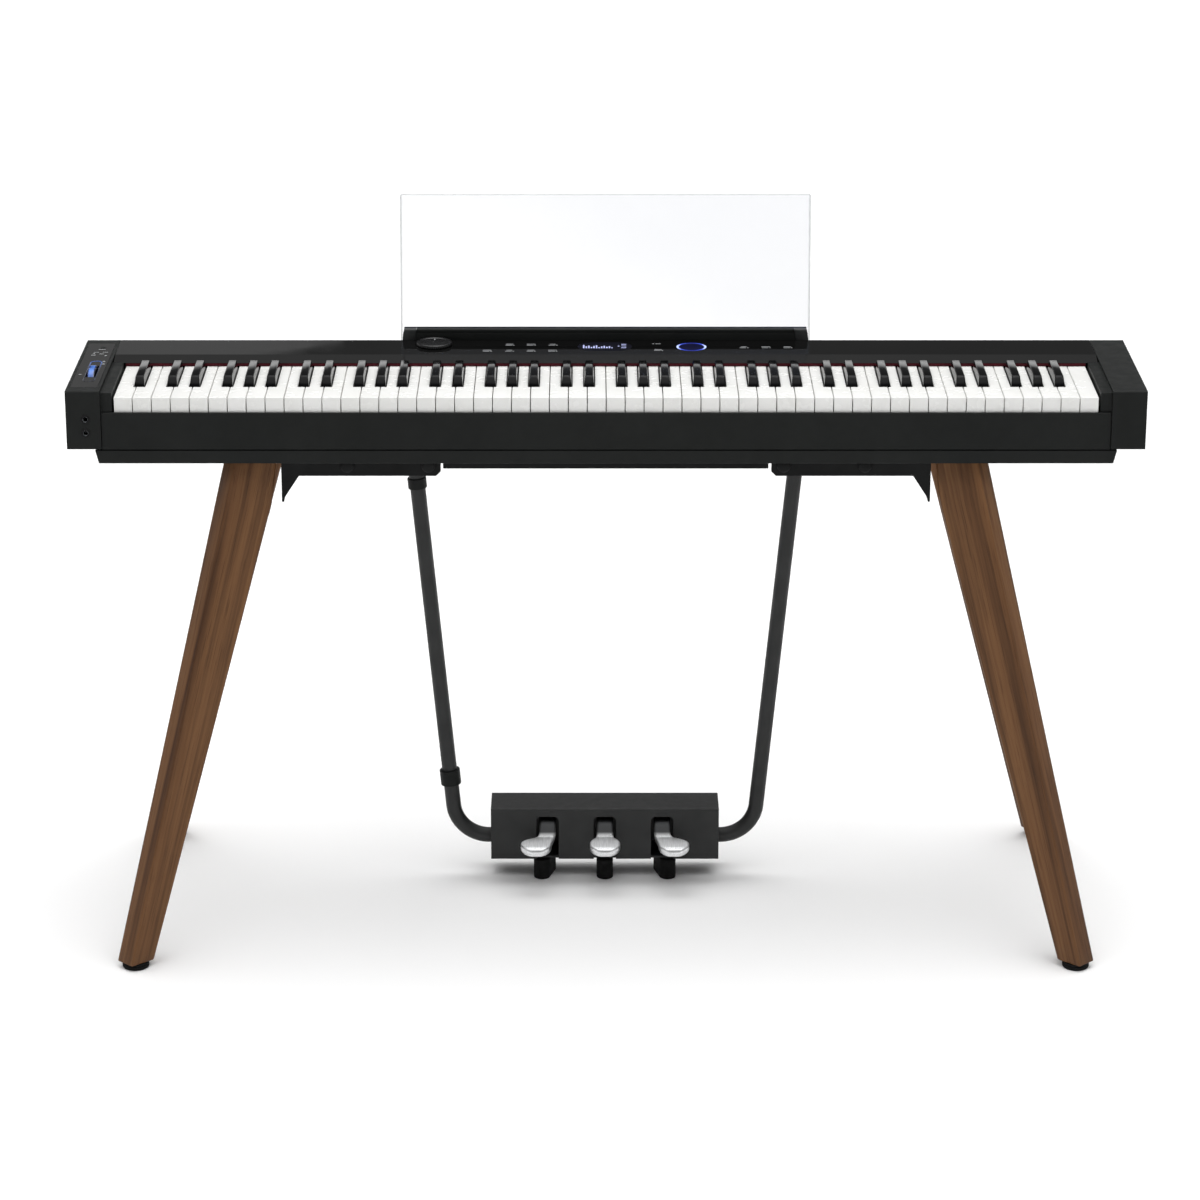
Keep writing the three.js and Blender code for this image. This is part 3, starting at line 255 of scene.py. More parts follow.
# ---- Legs -------------------------------------------------------------------------------
# Four solid walnut posts, each planed to an uneven diamond section with softened edges, and
# splayed out to the sides and to the front or rear. The inner edge turns upright at the top,
# where the bracket is bolted on.
def arcs(corners, radii, inset=0.0, steps=5):
    """Closed outline with round corners.

    Each straight edge moves inwards by inset, neighbouring edges meet in new corners, and
    every corner gives way to an arc that is tangent to both: the arc's centre lies on the
    bisector at radius / sin(half angle), and its points are a spherical blend between the
    two tangent points.
    """
    p = np.asarray(corners, float)
    ahead = np.roll(p, -1, 0) - p
    d = ahead / np.linalg.norm(ahead, axis=1, keepdims=True)
    q = p + inset * np.stack([-d[:, 1], d[:, 0]], 1)
    d0, q0 = np.roll(d, 1, 0), np.roll(q, 1, 0)
    cross = d0[:, 0] * d[:, 1] - d0[:, 1] * d[:, 0]
    gap = q - q0
    corner = q0 + ((gap[:, 0] * d[:, 1] - gap[:, 1] * d[:, 0]) / cross)[:, None] * d0
    half = 0.5 * np.arccos(np.clip(-(d0 * d).sum(1), -1, 1))
    radius = np.maximum(np.broadcast_to(radii, half.shape) - inset * np.sign(cross), 2e-5)
    bisector = (d - d0) / np.linalg.norm(d - d0, axis=1, keepdims=True)
    centre = corner + bisector * (radius / np.sin(half))[:, None]
    reach = (radius / np.tan(half))[:, None]
    start, end = corner - reach * d0 - centre, corner + reach * d - centre
    turn = (np.pi - 2 * half)[:, None, None]
    k = np.linspace(0, 1, steps)[None, :, None]
    arc = (np.sin((1 - k) * turn) * start[:, None] + np.sin(k * turn) * end[:, None]) / np.sin(turn)
    return (centre[:, None] + arc).reshape(-1, 2)


def rolled(low, high, edge, steps=4):
    """Heights and insets that roll both rims of an extrusion over by quarter circles."""
    angle = np.linspace(0, np.pi / 2, steps)
    inset = edge * (1 - np.sin(angle))
    rise = edge * (1 - np.cos(angle))
    return np.concatenate([low + rise, high - rise[::-1]]), np.concatenate([inset, inset[::-1]])


def skin(name, rings, finish, body, replaces=(), smooth=35.0, grain=None, closed=False):
    """A closed solid from rings of points, shaped (levels, points, 3): quads between
    neighbouring rings, and one face across each end, or quads from the last ring back to
    the first. It joins the frame under a body."""
    levels, count, _ = rings.shape
    here = np.arange(levels * count).reshape(levels, count)
    low, high = (here, np.roll(here, -1, 0)) if closed else (here[:-1], here[1:])
    faces = np.stack([low, np.roll(low, -1, 1), np.roll(high, -1, 1), high], -1)
    faces = faces.reshape(-1, 4).tolist()
    if not closed:
        faces += [here[0, ::-1].tolist(), here[-1].tolist()]
    mesh = bpy.data.meshes.new(name)
    mesh.from_pydata(rings.reshape(-1, 3).tolist(), [], faces)
    if grain is not None:
        mesh.attributes.new("grain", "FLOAT_VECTOR", "POINT").data.foreach_set(
            "vector", grain.astype(np.float32).ravel())
    return settle(name, mesh, finish, body, replaces, smooth)


def settle(name, mesh, finish, body, replaces=(), smooth=35.0):
    """Turns a mesh's faces outwards, shades it and fixes it to a body of the frame."""
    work = bmesh.new()
    work.from_mesh(mesh)
    bmesh.ops.recalc_face_normals(work, faces=work.faces)
    work.to_mesh(mesh)
    work.free()
    mesh.shade_smooth()
    mesh.set_sharp_from_angle(angle=math.radians(smooth))
    mesh.materials.append(finish.material)
    piece = bpy.data.objects.new(name, mesh)
    bpy.context.scene.collection.objects.link(piece)
    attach(piece, body)
    if replaces:
        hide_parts(*replaces)
    return piece


def walnut_finish():
    """Straight-grained walnut under a satin lacquer: growth bands, darker streaks, pores."""
    f = Finish("walnut", linear(104, 74, 48), 0.42)
    bands = f.noise(34, 4.0, (1, 1, 0.035), "grain", Distortion=0.5)
    streaks = f.noise(150, 5.0, (1, 1, 0.012), "grain", Distortion=0.2)
    pores = f.noise(900, 2.0, (1, 1, 0.02), "grain")
    base = f.ramp(bands, [(0.28, linear(72, 46, 27)), (0.45, linear(101, 69, 43)),
                          (0.6, linear(117, 82, 52)), (0.75, linear(88, 58, 35))])
    lines = f.ramp(streaks, [(0.32, (0.45, 0.42, 0.40, 1)), (0.55, (1, 1, 1, 1)),
                             (0.72, (0.86, 0.84, 0.82, 1))])
    specks = f.ramp(pores, [(0.30, (0.55, 0.52, 0.5, 1)), (0.44, (1, 1, 1, 1))])
    for layer in (lines, specks):
        mix = f.node("ShaderNodeMix", data_type="RGBA", blend_type="MULTIPLY")
        mix.inputs["Factor"].default_value = 0.8
        f.join(base, mix.inputs["A"]).join(layer, mix.inputs["B"])
        base = mix.outputs["Result"]
    f.join(base, f.shader.inputs["Base Color"])
    f.wear(streaks, 0.36, 0.5)
    f.relief(pores, 0.00012, 0.5).relief(streaks, 0.0001, 0.35)
    return f.set(**{"Specular IOR Level": 0.16})


walnut = walnut_finish()
LEG_FOOT = np.array([[622, 225.6], [600, 246], [573, 222], [593, 201]]) * MM
LEG_HEAD = np.array([[480.5, 84], [463.5, 102], [408.5, 86], [432, 62]]) * MM
LEG_KINK_INNER = np.array([413, 92]) * MM
LEG_KINK_Z = 0.576
LEG_RADII = np.array([4.0, 2.2, 4.5, 5.0]) * MM
LEG_EDGE = 1.6 * MM
LEG_BEND = 0.018


def leg_rings(low, high):
    """Corners slide in straight lines from foot to head; above the kink the inner corner
    leaves its line and runs to the head's corner, through a short rounded turn."""
    heights, insets = rolled(low, high, LEG_EDGE)
    turn = LEG_KINK_Z + np.linspace(-1, 1, 7) * LEG_BEND
    between = np.concatenate([np.linspace(low, turn[0], 26)[1:-1], turn])
    z = np.concatenate([heights[:4], between, heights[4:]])
    inset = np.concatenate([insets[:4], np.zeros(between.size), insets[4:]])
    share = ((z - low) / (high - low))[:, None, None]
    corners = LEG_FOOT + (LEG_HEAD - LEG_FOOT) * share
    below = LEG_FOOT[2] + (LEG_KINK_INNER - LEG_FOOT[2]) * ((z - low) / (LEG_KINK_Z - low))[:, None]
    climbed = ((z - LEG_KINK_Z) / (high - LEG_KINK_Z))[:, None]
    above = LEG_KINK_INNER + (LEG_HEAD[2] - LEG_KINK_INNER) * climbed
    w = np.clip((z - turn[0]) / (2 * LEG_BEND), 0, 1)[:, None]
    corners[:, 2] = below * (1 - w) + above * w
    rings = np.stack([arcs(c, LEG_RADII, i) for c, i in zip(corners, inset)])
    return np.concatenate([rings, np.broadcast_to(z[:, None, None], (*rings.shape[:2], 1))], 2)


def add_leg(name, side, end):
    """One leg, mirrored to its side and end, with its grain running along its middle line."""
    low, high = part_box(name)
    rings = leg_rings(low.z, high.z)
    centre = rings.mean(1, keepdims=True)
    run = np.linalg.norm(centre[-1] - centre[0]) / (high.z - low.z)
    grain = rings - centre
    grain[..., 2] = (rings[..., 2] - low.z) * run
    grain = grain.reshape(-1, 3) * (side, end, 1) + (0.3 * side, 0.2 * end, 0.1 * side * end)
    skin(name + "_post", rings * (side, -end, 1), walnut, "piano", [name], grain=grain)


for end_name, end in (("front", 1), ("rear", -1)):
    for side_name, side in (("left", -1), ("right", 1)):
        add_leg(f"leg_{end_name}_{side_name}", side, end)

# ---- Foot glides ------------------------------------------------------------------------
# A turned rubber glide under each leg, with a rounded lower rim, a groove and a fixing
# plate against the wood.
def rubber_finish():
    """Moulded black rubber, with a fine dull tooth."""
    f = Finish("rubber_black", linear(15, 15, 15), 0.8).set(**{"Specular IOR Level": 0.15})
    f.shade(f.noise(60), linear(12, 12, 12), linear(19, 19, 19))
    f.wear(f.noise(140), 0.7, 0.9)
    return f.relief(f.noise(2400, 2.0), 0.00005, 0.5)


def turned(profile, centre, axis="z", sides=48):
    """Profile of (radius, height) pairs spun round an axis through centre."""
    profile = np.asarray(profile, float)
    angle = np.linspace(0, 2 * np.pi, sides, endpoint=False)
    radius, height = profile[:, :1], profile[:, 1:]
    u, v = radius * np.cos(angle), radius * np.sin(angle)
    w = np.broadcast_to(height, u.shape)
    order = {"z": (u, v, w), "x": (w, u, v), "y": (v, w, u)}[axis]
    return np.stack(order, -1) + np.asarray(centre, float)


rubber = rubber_finish()


def glide_profile(radius, height):
    """Rim rolled over by a quarter circle, one shallow groove two thirds of the way up."""
    roll = 2.4 * MM
    angle = np.linspace(0, np.pi / 2, 6)
    foot = np.stack([radius - roll + roll * np.sin(angle), roll - roll * np.cos(angle)], 1)
    groove = np.array([[radius, 0.6 * height], [radius - 0.8 * MM, 0.64 * height],
                       [radius - 0.8 * MM, 0.74 * height], [radius, 0.78 * height],
                       [radius, height - 0.5 * MM], [radius - 0.5 * MM, height]])
    return np.concatenate([[[radius * 0.3, 0]], foot, groove, [[radius * 0.3, height]]])


for glide in [n for n in frame["nodes"] if n.startswith("glide_")]:
    low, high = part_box(glide)
    middle = ((low.x + high.x) / 2, (low.y + high.y) / 2, 0)
    rings = turned(glide_profile((high.x - low.x) / 2, high.z), middle)
    skin(glide + "_pad", rings, rubber, "piano", [glide])

# ---- Stand frame ------------------------------------------------------------------------
# Two folded steel brackets under the tray hold a pair of legs each, and a square tube joins
# them. Everything is welded, powder coated black and held up by round-headed screws.
def powder_coat(name, grey, gloss_level):
    """Black powder coat on steel, with orange peel and slight rub marks."""
    f = Finish(name, linear(grey, grey + 1, grey + 1), 0.5)
    f.shade(f.noise(18), linear(grey - 3, grey - 2, grey - 2), linear(grey + 4, grey + 5, grey + 5))
    f.wear(f.noise(45, 5.0), 0.42, 0.58)
    f.relief(f.noise(1400, 3.0), 0.00006, 0.6)
    return f.set(**{"Specular IOR Level": gloss_level})


def refined(node, finish, body="piano", bevel=0.6, segments=3, name=None):
    """A frame piece's own shape as one clean mesh, flat faces joined, edges rounded over."""
    source = bmesh.new()
    source.from_mesh(frame["nodes"][node].data)
    bmesh.ops.remove_doubles(source, verts=source.verts, dist=2e-6)
    bmesh.ops.dissolve_limit(source, angle_limit=math.radians(1.5),
                             verts=source.verts, edges=source.edges)
    mesh = bpy.data.meshes.new(name or node + "_skin")
    source.to_mesh(mesh)
    source.free()
    piece = settle(mesh.name, mesh, finish, body, [node])
    rounding = piece.modifiers.new("rounding", "BEVEL")
    rounding.width, rounding.segments = bevel * MM, segments
    rounding.limit_method, rounding.angle_limit = "ANGLE", math.radians(32)
    rounding.harden_normals = True
    return piece


coated = powder_coat("steel_black", 14, 0.12)
for node in ("bracket_left", "bracket_right", "cross_bar"):
    refined(node, coated, bevel=1.0)


def knob_profile(radius, depth):
    """Domed head with a short collar behind it."""
    angle = np.linspace(0, np.pi / 2, 7)
    dome = np.stack([radius * np.sin(angle) * 0.999 + 1e-5, 0.45 * depth * (1 - np.cos(angle))], 1)
    collar = np.array([[radius, 0.62 * depth], [0.8 * radius, 0.72 * depth], [0.8 * radius, depth],
                       [1e-5, depth]])
    return np.concatenate([dome, collar])


for node in [n for n in frame["nodes"] if n.startswith("clamp_knob_")]:
    low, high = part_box(node)
    spot = ((low.x + high.x) / 2, low.y, (low.z + high.z) / 2)
    rings = turned(knob_profile((high.x - low.x) / 2, high.y - low.y), spot, "y", 32)
    skin(node + "_head", rings, coated, "piano", [node])

# ---- Bottom case ------------------------------------------------------------------------
# The injection-moulded tray that everything stands in: tapered walls, a flat underside with
# ribs inside, screwed up into the end caps.
def case_plastic():
    """Satin black moulding: faint flow mottling and a fine spark-eroded texture."""
    f = Finish("case_black", linear(20, 22, 21), 0.48)
    f.shade(f.noise(14, 4.0), linear(18, 20, 19), linear(23, 25, 24))
    f.wear(f.noise(60, 4.0), 0.42, 0.54)
    return f.relief(f.noise(2600, 2.0), 0.00004, 0.6).set(**{"Specular IOR Level": 0.14})


case = case_plastic()
refined("bottom_case", case, bevel=1.2)
refined("rear_panel", case, bevel=0.5, segments=2)

# ---- Front rail and end caps ------------------------------------------------------------
# The key slip closes the front below the keys. Each end cap is one hollow moulding with the
# key cheek on its inner wall.
refined("front_rail", case, bevel=0.5, segments=2)
refined("end_cap_left", case, bevel=1.0)
refined("end_cap_right", case, bevel=1.0)

# ---- Keys -------------------------------------------------------------------------------
# Fifty-two moulded white naturals with rolled edges and a slim gap between them, and
# thirty-six matt black sharps whose noses slope back. Each is a piece of its own. The
# octave from middle C upwards swings on its own bodies.
def natural_finish():
    """White key plastic: glossy, with very faint drifts of tone and polish."""
    f = Finish("white_key", linear(229, 229, 226), 0.24)
    f.shade(f.noise(22, 3.0), linear(226, 226, 223), linear(231, 231, 229))
    f.wear(f.noise(70, 4.0), 0.2, 0.3)
    return f.relief(f.noise(500, 2.0), 0.00002, 0.2)


def sharp_finish():
    """Black key plastic with a fine ebony-like grain along its length."""
    f = Finish("black_key", linear(14, 14, 15), 0.14)
    grain = f.noise(1500, 3.0, (1, 0.05, 1))
    f.shade(f.noise(40), linear(8, 8, 9), linear(13, 13, 14))
    f.wear(grain, 0.08, 0.12)
    return f.relief(grain, 0.00001, 0.1).set(**{"Specular IOR Level": 0.12})


ivory, ebony = natural_finish(), sharp_finish()
NATURALS = 52
FIRST_NOTE, MIDDLE_C, LAST_NOTE = 21, 60, 108
NATURAL_GAP = 1.0 * MM
SHARP_CLEARANCE = 0.8 * MM
SHOULDER_GAP = 1.6 * MM
NATURAL_EDGE = 0.9 * MM
SHARP_DRAW = 1.5 * MM
GROOVE = np.array([[48.4, 0], [48.5, 6.6], [55.5, 6.6], [55.6, 0]]) * MM
natural_low, natural_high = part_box("key_d4")
sharp_low, sharp_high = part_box("key_cs4")
SHARP_WIDTH = sharp_high.x - sharp_low.x
SHARP_TOP_REAR = 15.5 * MM
FIELD_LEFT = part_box("bass_keys")[0].x - NATURAL_GAP / 2
PITCH = (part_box("treble_keys")[1].x + NATURAL_GAP / 2 - FIELD_LEFT) / NATURALS
NOTE_NAMES = "c cs d ds e f fs g gs a as b".split()


def key_plan():
    """Note, left of its natural's place, and left and right of its tail, for all the keys.

    Three naturals share the width from C to E, and four that from F to B. In each run the
    tails are equally wide, and every sharp takes its width and a clearance on both sides.
    """
    slot = SHARP_WIDTH + 2 * SHARP_CLEARANCE
    rows, left = [], FIELD_LEFT - 5 * PITCH
    for octave in range(9):
        for first, whites in ((0, 3), (5, 4)):
            tail = (whites * PITCH - (whites - 1) * slot) / whites
            order = np.arange(2 * whites - 1)
            start = left + (order // 2) * (tail + slot) + (order % 2) * tail
            end = start + np.where(order % 2, slot, tail)
            notes = 12 * (octave + 1) + first + order
            rows += list(zip(notes.tolist(), left + order / 2 * PITCH, start, end))
            left += whites * PITCH
    return [row for row in rows if FIRST_NOTE <= row[0] <= LAST_NOTE]


def natural_rings(note, head, start, end):
    """Rounded rectangles along Y: the front rolls in by a quarter circle, the section steps
    in to the tail behind the shoulder, and its underside rises over the pivot rod."""
    x0, x1 = head + NATURAL_GAP / 2, head + PITCH - NATURAL_GAP / 2
    t0 = x0 if note == FIRST_NOTE else max(start, x0)
    t1 = x1 if note == LAST_NOTE else min(end, x1)
    angle = np.linspace(0, np.pi / 2, 5)
    roll = NATURAL_EDGE * np.stack([1 - np.cos(angle), 1 - np.sin(angle)], 1)
    shoulder = sharp_low.y - SHOULDER_GAP
    y = np.concatenate([natural_low.y + roll[:, 0], [shoulder - 2e-5, shoulder], GROOVE[:, 0],
                        [natural_high.y]])
    inset = np.concatenate([roll[:, 1], np.zeros(y.size - 5)])
    lift = np.concatenate([np.zeros(7), GROOVE[:, 1], [0]])
    at_head = (y < shoulder)
    left, right = np.where(at_head, x0, t0), np.where(at_head, x1, t1)
    z0, z1 = natural_low.z + lift, natural_high.z
    radii = np.array([0.3, 0.3, 0.9, 0.9]) * MM
    return np.stack([np.insert(arcs([[a, c], [b, c], [b, z1], [a, z1]], radii, i, 4), 1, h, 1)
                     for a, b, c, i, h in zip(left, right, z0, inset, y)])


def sharp_rings(start, end):
    """Six-cornered sections along Y: upright sides below, drawn in above. The nose climbs
    in a straight slope that is eased at both ends, and the tail stays low."""
    x0, x1 = start + SHARP_CLEARANCE, end - SHARP_CLEARANCE
    rise = sharp_high.z - natural_high.z
    nose = np.array([[0, -1.6, 0.7], [0.25, -0.5, 0.2], [0.7, 0.9, 0], [3.4, 4.9, 0], [6.1, 8.8, 0],
                     [7.5, 10.6, 0], [8.8, 11.6, 0], [10.6, 12.0, 0]]) * MM
    back = np.array([[-1.4, 12.0], [-0.5, 11.7], [0, 11.0], [0.05, -1.2]]) * MM
    y = np.concatenate([sharp_low.y + nose[:, 0], SHARP_TOP_REAR + back[:, 0], GROOVE[:, 0],
                        [natural_high.y]])
    top = natural_high.z + np.concatenate([nose[:, 1], back[:, 1], np.full(5, -1.2 * MM)])
    inset = np.concatenate([nose[:, 2], np.zeros(y.size - 8)])
    floor_z = sharp_low.z + np.concatenate([np.zeros(12), GROOVE[:, 1], [0]])
    waist = np.minimum(natural_high.z - 1.4 * MM, top - 0.6 * MM)
    draw = SHARP_DRAW * np.clip((top - waist) / (rise + MM), 0, 1)
    crown = np.minimum(1.5 * MM, 0.7 * (top - waist))
    return np.stack([np.insert(arcs(
        [[x0, c], [x1, c], [x1, w], [x1 - d, t], [x0 + d, t], [x0, w]],
        np.array([2e-4, 2e-4, 3e-4, r, r, 3e-4]), i, 5), 1, h, 1)
        for c, w, d, t, r, i, h in zip(floor_z, waist, draw, top, crown, inset, y)])


for note, head, start, end in key_plan():
    name = f"{NOTE_NAMES[note % 12]}{note // 12 - 1}"
    moving = f"key_{name}" in frame["bodies"]
    stood_for = f"key_{name}" if moving else ("bass_keys" if note < MIDDLE_C else "treble_keys")
    body = stood_for if moving else "piano"
    if name[1] == "s":
        skin(f"sharp_{name}", sharp_rings(start, end), ebony, body, [stood_for])
    else:
        skin(f"natural_{name}", natural_rings(note, head, start, end), ivory, body,
             [stood_for])

# ---- Felt and key frame -----------------------------------------------------------------
# A strip of red wool felt closes the gap behind the keys. Underneath, a zinc-plated steel
# frame carries the pivot rod and guides the keys' fronts.
def felt_finish():
    """Pressed wool, with a matted surface and a soft sheen."""
    f = Finish("felt_red", linear(76, 15, 26), 0.95)
    fibres = f.noise(900, 6.0)
    f.shade(fibres, linear(58, 10, 20), linear(92, 21, 33))
    f.relief(fibres, 0.0003, 0.8)
    return f.set(**{"Sheen Weight": 0.2, "Specular IOR Level": 0.2})


def zinc_finish():
    """Bright zinc plating, with its crystalline mottling."""
    f = Finish("zinc_steel", linear(150, 155, 158), 0.4, 0.9)
    f.shade(f.noise(180, 2.0), linear(132, 138, 142), linear(172, 176, 178))
    f.wear(f.noise(90), 0.3, 0.5)
    return f.relief(f.noise(700), 0.00003, 0.3)


def dress(node, finish):
    """Gives a frame piece that keeps its shape a finer material."""
    for place in frame["nodes"][node].material_slots:
        place.material = finish.material


refined("felt_strip", felt_finish(), bevel=0.5, segments=2)
dress("key_chassis", zinc_finish())

# ---- Control panel ----------------------------------------------------------------------
# One long moulding in piano black. Its front edge drops towards the keys in a gentle slope,
# and touch symbols and the display shine through from below.
def gloss_finish():
    """Polished black plastic with a ripple that only shows in reflections."""
    f = Finish("panel_gloss", linear(11, 11, 11), 0.04)
    f.shade(f.noise(9), linear(9, 9, 9), linear(13, 13, 13))
    f.wear(f.noise(30, 5.0), 0.02, 0.05)
    return f.relief(f.noise(9, 1.0), 0.000004, 0.1).set(**{"Specular IOR Level": 0.2})


def printed(name, colour, glow):
    """Symbols printed or lit from behind, slightly uneven in brightness."""
    f = Finish(name, colour, 0.4)
    f.shade(f.noise(300, 2.0), tuple(0.75 * c for c in colour[:3]) + (1,), colour)
    return f.set(**{"Emission Color": colour, "Emission Strength": glow, "Specular IOR Level": 0.1})


gloss = gloss_finish()
refined("top_panel", gloss, bevel=0.7, segments=3)
ink = printed("symbol_white", linear(168, 170, 172), 0.12)
lit = printed("display_light", linear(166, 172, 214), 0.5)
PANEL_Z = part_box("top_panel")[1].z
INK_HEIGHT = 0.08 * MM


def marks(name, outlines, z, finish, body="piano"):
    """Flat outlines, each a list of (x, y), raised into thin plates as one piece."""
    points, faces = [], []
    for outline in outlines:
        count, base = len(outline), len(points)
        points += [(x, y, z + INK_HEIGHT * level) for level in (0.2, 1.2) for x, y in outline]
        ring = np.arange(count)
        ahead = (ring + 1) % count
        sides = np.stack([ring, ahead, ahead + count, ring + count], 1) + base
        faces += sides.tolist() + [(base + ring[::-1]).tolist(), (base + count + ring).tolist()]
    mesh = bpy.data.meshes.new(name)
    mesh.from_pydata(points, [], faces)
    return settle(name, mesh, finish, body)


def strip(x, y, width, depth):
    """Rectangle about a middle, in millimetres, with rounded ends."""
    corners = np.array([[-1, -1], [1, -1], [1, 1], [-1, 1]]) * (width / 2, depth / 2)
    return (arcs(corners + (x, y), np.full(4, 0.45 * min(width, depth)), 0, 4) * MM).tolist()


def triangle(x, y, size, turn):
    """Three corners a third of a turn apart about a middle, in millimetres."""
    angle = turn + np.array([0, 2, 4]) * np.pi / 3
    return (np.stack([x + size * np.cos(angle), y + size * np.sin(angle)], 1) * MM).tolist()


TOUCH_SYMBOLS = [(-152, 67.5), (-123.4, 96.5), (-123.4, 67.5), (-95.8, 96.5), (-95.8, 67.5),
                 (-68, 96.5), (-68, 67.5), (67.5, 71), (177.7, 84), (206.2, 84), (233.9, 84)]
touch_marks = []
for count, (x, y) in enumerate(TOUCH_SYMBOLS):
    touch_marks += [strip(x, y + 2.6, 11.5 - 2 * (count % 3), 1.5),
                    strip(x - 1.2, y - 2.6, 8.5, 1.5)]
    touch_marks.append(triangle(x + 5.2, y - 2.6, 1.6, (count % 4) * np.pi / 2))
touch_marks += [strip(67.8, 101, 7, 1.6), triangle(61.5, 101, 1.8, np.pi)]
marks("touch_symbols", touch_marks, PANEL_Z, ink)

LEVELS = [16, 9, 13, 6, 11, 14, 5, 9, 12, 7, 10, 4]
display_marks = [strip(-28 + 3.3 * i, 79 + level / 2, 1.9, level) for i, level in enumerate(LEVELS)]
display_marks += [strip(23.5, y, 6.5, 1.7) for y in (81, 85, 94, 98)] + [triangle(17, 89.5, 2.2, 0)]
marks("display_symbols", display_marks, PANEL_Z + INK_HEIGHT * 1.4, lit)
navy = printed("display_ground", linear(9, 9, 20), 0.1)
marks("display_window", [strip(-1, 87.5, 70, 40)], PANEL_Z, navy)

RING_AT = (110.5 * MM, 86 * MM)


def ring_finish():
    """Light ring that is brightest at its left and right."""
    f = printed("ring_light", linear(60, 84, 190), 0.9)
    away = f.maths("ABSOLUTE", f.maths("SUBTRACT", f.place()["X"], RING_AT[0]))
    glow = f.ramp(f.along(away, 4 * MM, 19 * MM),
                  [(0.0, linear(20, 30, 112)), (0.6, linear(48, 66, 168)),
                   (1.0, linear(176, 190, 238))])
    return f.join(glow, f.shader.inputs["Emission Color"]).join(glow, f.shader.inputs["Base Color"])


ring_profile = np.array([[16.4, 0.02], [16.7, 0.3], [18.9, 0.3], [19.2, 0.02]]) * MM
ring_disc = np.array([[0.01, 0.02], [0.01, 0.12], [16.2, 0.12], [16.2, 0.02]]) * MM
pad = printed("ring_pad", linear(6, 8, 42), 0.15)
skin("touch_ring", turned(ring_profile, (*RING_AT, PANEL_Z)), ring_finish(), "piano",
     closed=True)
skin("touch_ring_pad", turned(ring_disc, (*RING_AT, PANEL_Z)), pad, "piano",
     closed=True)

# ---- Volume knob ------------------------------------------------------------------------
# A flat black dial with a polished chamfer, a dished top and a finely ridged side, which
# turns on a spindle in the panel.
DIAL_RIDGES = 60


def dial_rings():
    """The knob's profile spun round its axis; its side is pushed in and out by a cosine
    with one wave to each of the ridges."""
    low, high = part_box("volume_knob")
    radius, base = (high.x - low.x) / 2, PANEL_Z + 0.3 * MM
    inner = np.array([[0.05, low.z], [3, low.z], [3, base], [21.6, base]])
    inner[:, 0] *= MM
    r, h = radius / MM, (high.z - base) / MM
    outer = np.array([[r - 0.5, 0.2], [r - 0.1, 0.7], [r - 0.1, h - 1.3], [r - 0.4, h - 0.7],
                      [r - 1.2, h - 0.1], [r - 2.6, h], [r - 4.6, h], [r - 5.2, h - 0.25],
                      [r - 5.8, h - 0.7], [0.05, h - 0.8]])
    profile = np.concatenate([inner, outer * MM + (0, base)])
    ridged = np.zeros(len(profile))
    ridged[5:7] = 0.1 * MM
    sides = 360
    rings = turned(profile, (0, 0, 0), sides=sides)
    wave = np.cos(np.arange(sides) * 2 * np.pi * DIAL_RIDGES / sides)
    span = np.maximum(np.linalg.norm(rings[..., :2], axis=2), 1e-6)
    rings[..., :2] *= (1 + ridged[:, None] * wave / span)[..., None]
    return rings + ((low.x + high.x) / 2, (low.y + high.y) / 2, 0)


dial_finish = Finish("knob_satin", linear(24, 24, 25), 0.28, 0.3)
dial_finish.shade(dial_finish.noise(60), linear(20, 20, 21), linear(31, 31, 32))
dial_finish.wear(dial_finish.noise(260, 3.0), 0.2, 0.36)
dial_finish.relief(dial_finish.noise(1800), 0.00002, 0.3)
skin("volume_dial", dial_rings(), dial_finish, "volume_knob", ["volume_knob"])
dial_low, dial_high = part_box("volume_knob")
dial_x, dial_y = (dial_low.x + dial_high.x) / 2 / MM, (dial_low.y + dial_high.y) / 2 / MM
marks("volume_pointer", [strip(dial_x, dial_y + 12, 1.0, 6)], dial_high.z - 0.8 * MM, ink,
      "volume_knob")

# ---- Left end controls ------------------------------------------------------------------
# A glossy plate let into the left end cap holds the power button, a few symbols, and a
# bending wheel of blue-lit clear plastic in an oval surround.
refined("control_plate", gloss, bevel=0.25, segments=2)
button_low, button_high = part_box("power_button")
button_at = ((button_low.x + button_high.x) / 2, (button_low.y + button_high.y) / 2, 0)
button_foot, button_top = button_low.z / MM, button_high.z / MM
button_profile = np.array([[0.02, button_foot], [3.6, button_foot], [3.6, button_top - 0.5],
                           [3.4, button_top - 0.12], [3.0, button_top], [1.6, button_top - 0.2],
                           [0.02, button_top - 0.25]]) * MM
skin("power_key", turned(button_profile, button_at, sides=40), case, "power_button",
     ["power_button"])
cap_marks = [strip(-646, 74, 9, 1.5), strip(-652, 60, 7, 1.3), strip(-640, 60, 7, 1.3),
             strip(-654, 46, 6, 1.6), strip(-644, 52, 6, 1.6), triangle(-654, 53, 2.2, np.pi / 2),
             triangle(-638, 44, 2.2, 0),
             strip(-637, 8, 5, 1.6), strip(-637, 3, 5, 1.6), triangle(-637, 16, 2.6, np.pi / 2),
             strip(-660, -44, 4, 1.4)]
marks("end_symbols", cap_marks, PANEL_Z, ink)


wheel_low, wheel_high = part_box("pitch_wheel")
WHEEL_X = (wheel_low.x + wheel_high.x) / 2
WHEEL_AXLE_DEPTH = 24 * MM
WHEEL_SIDES = 144


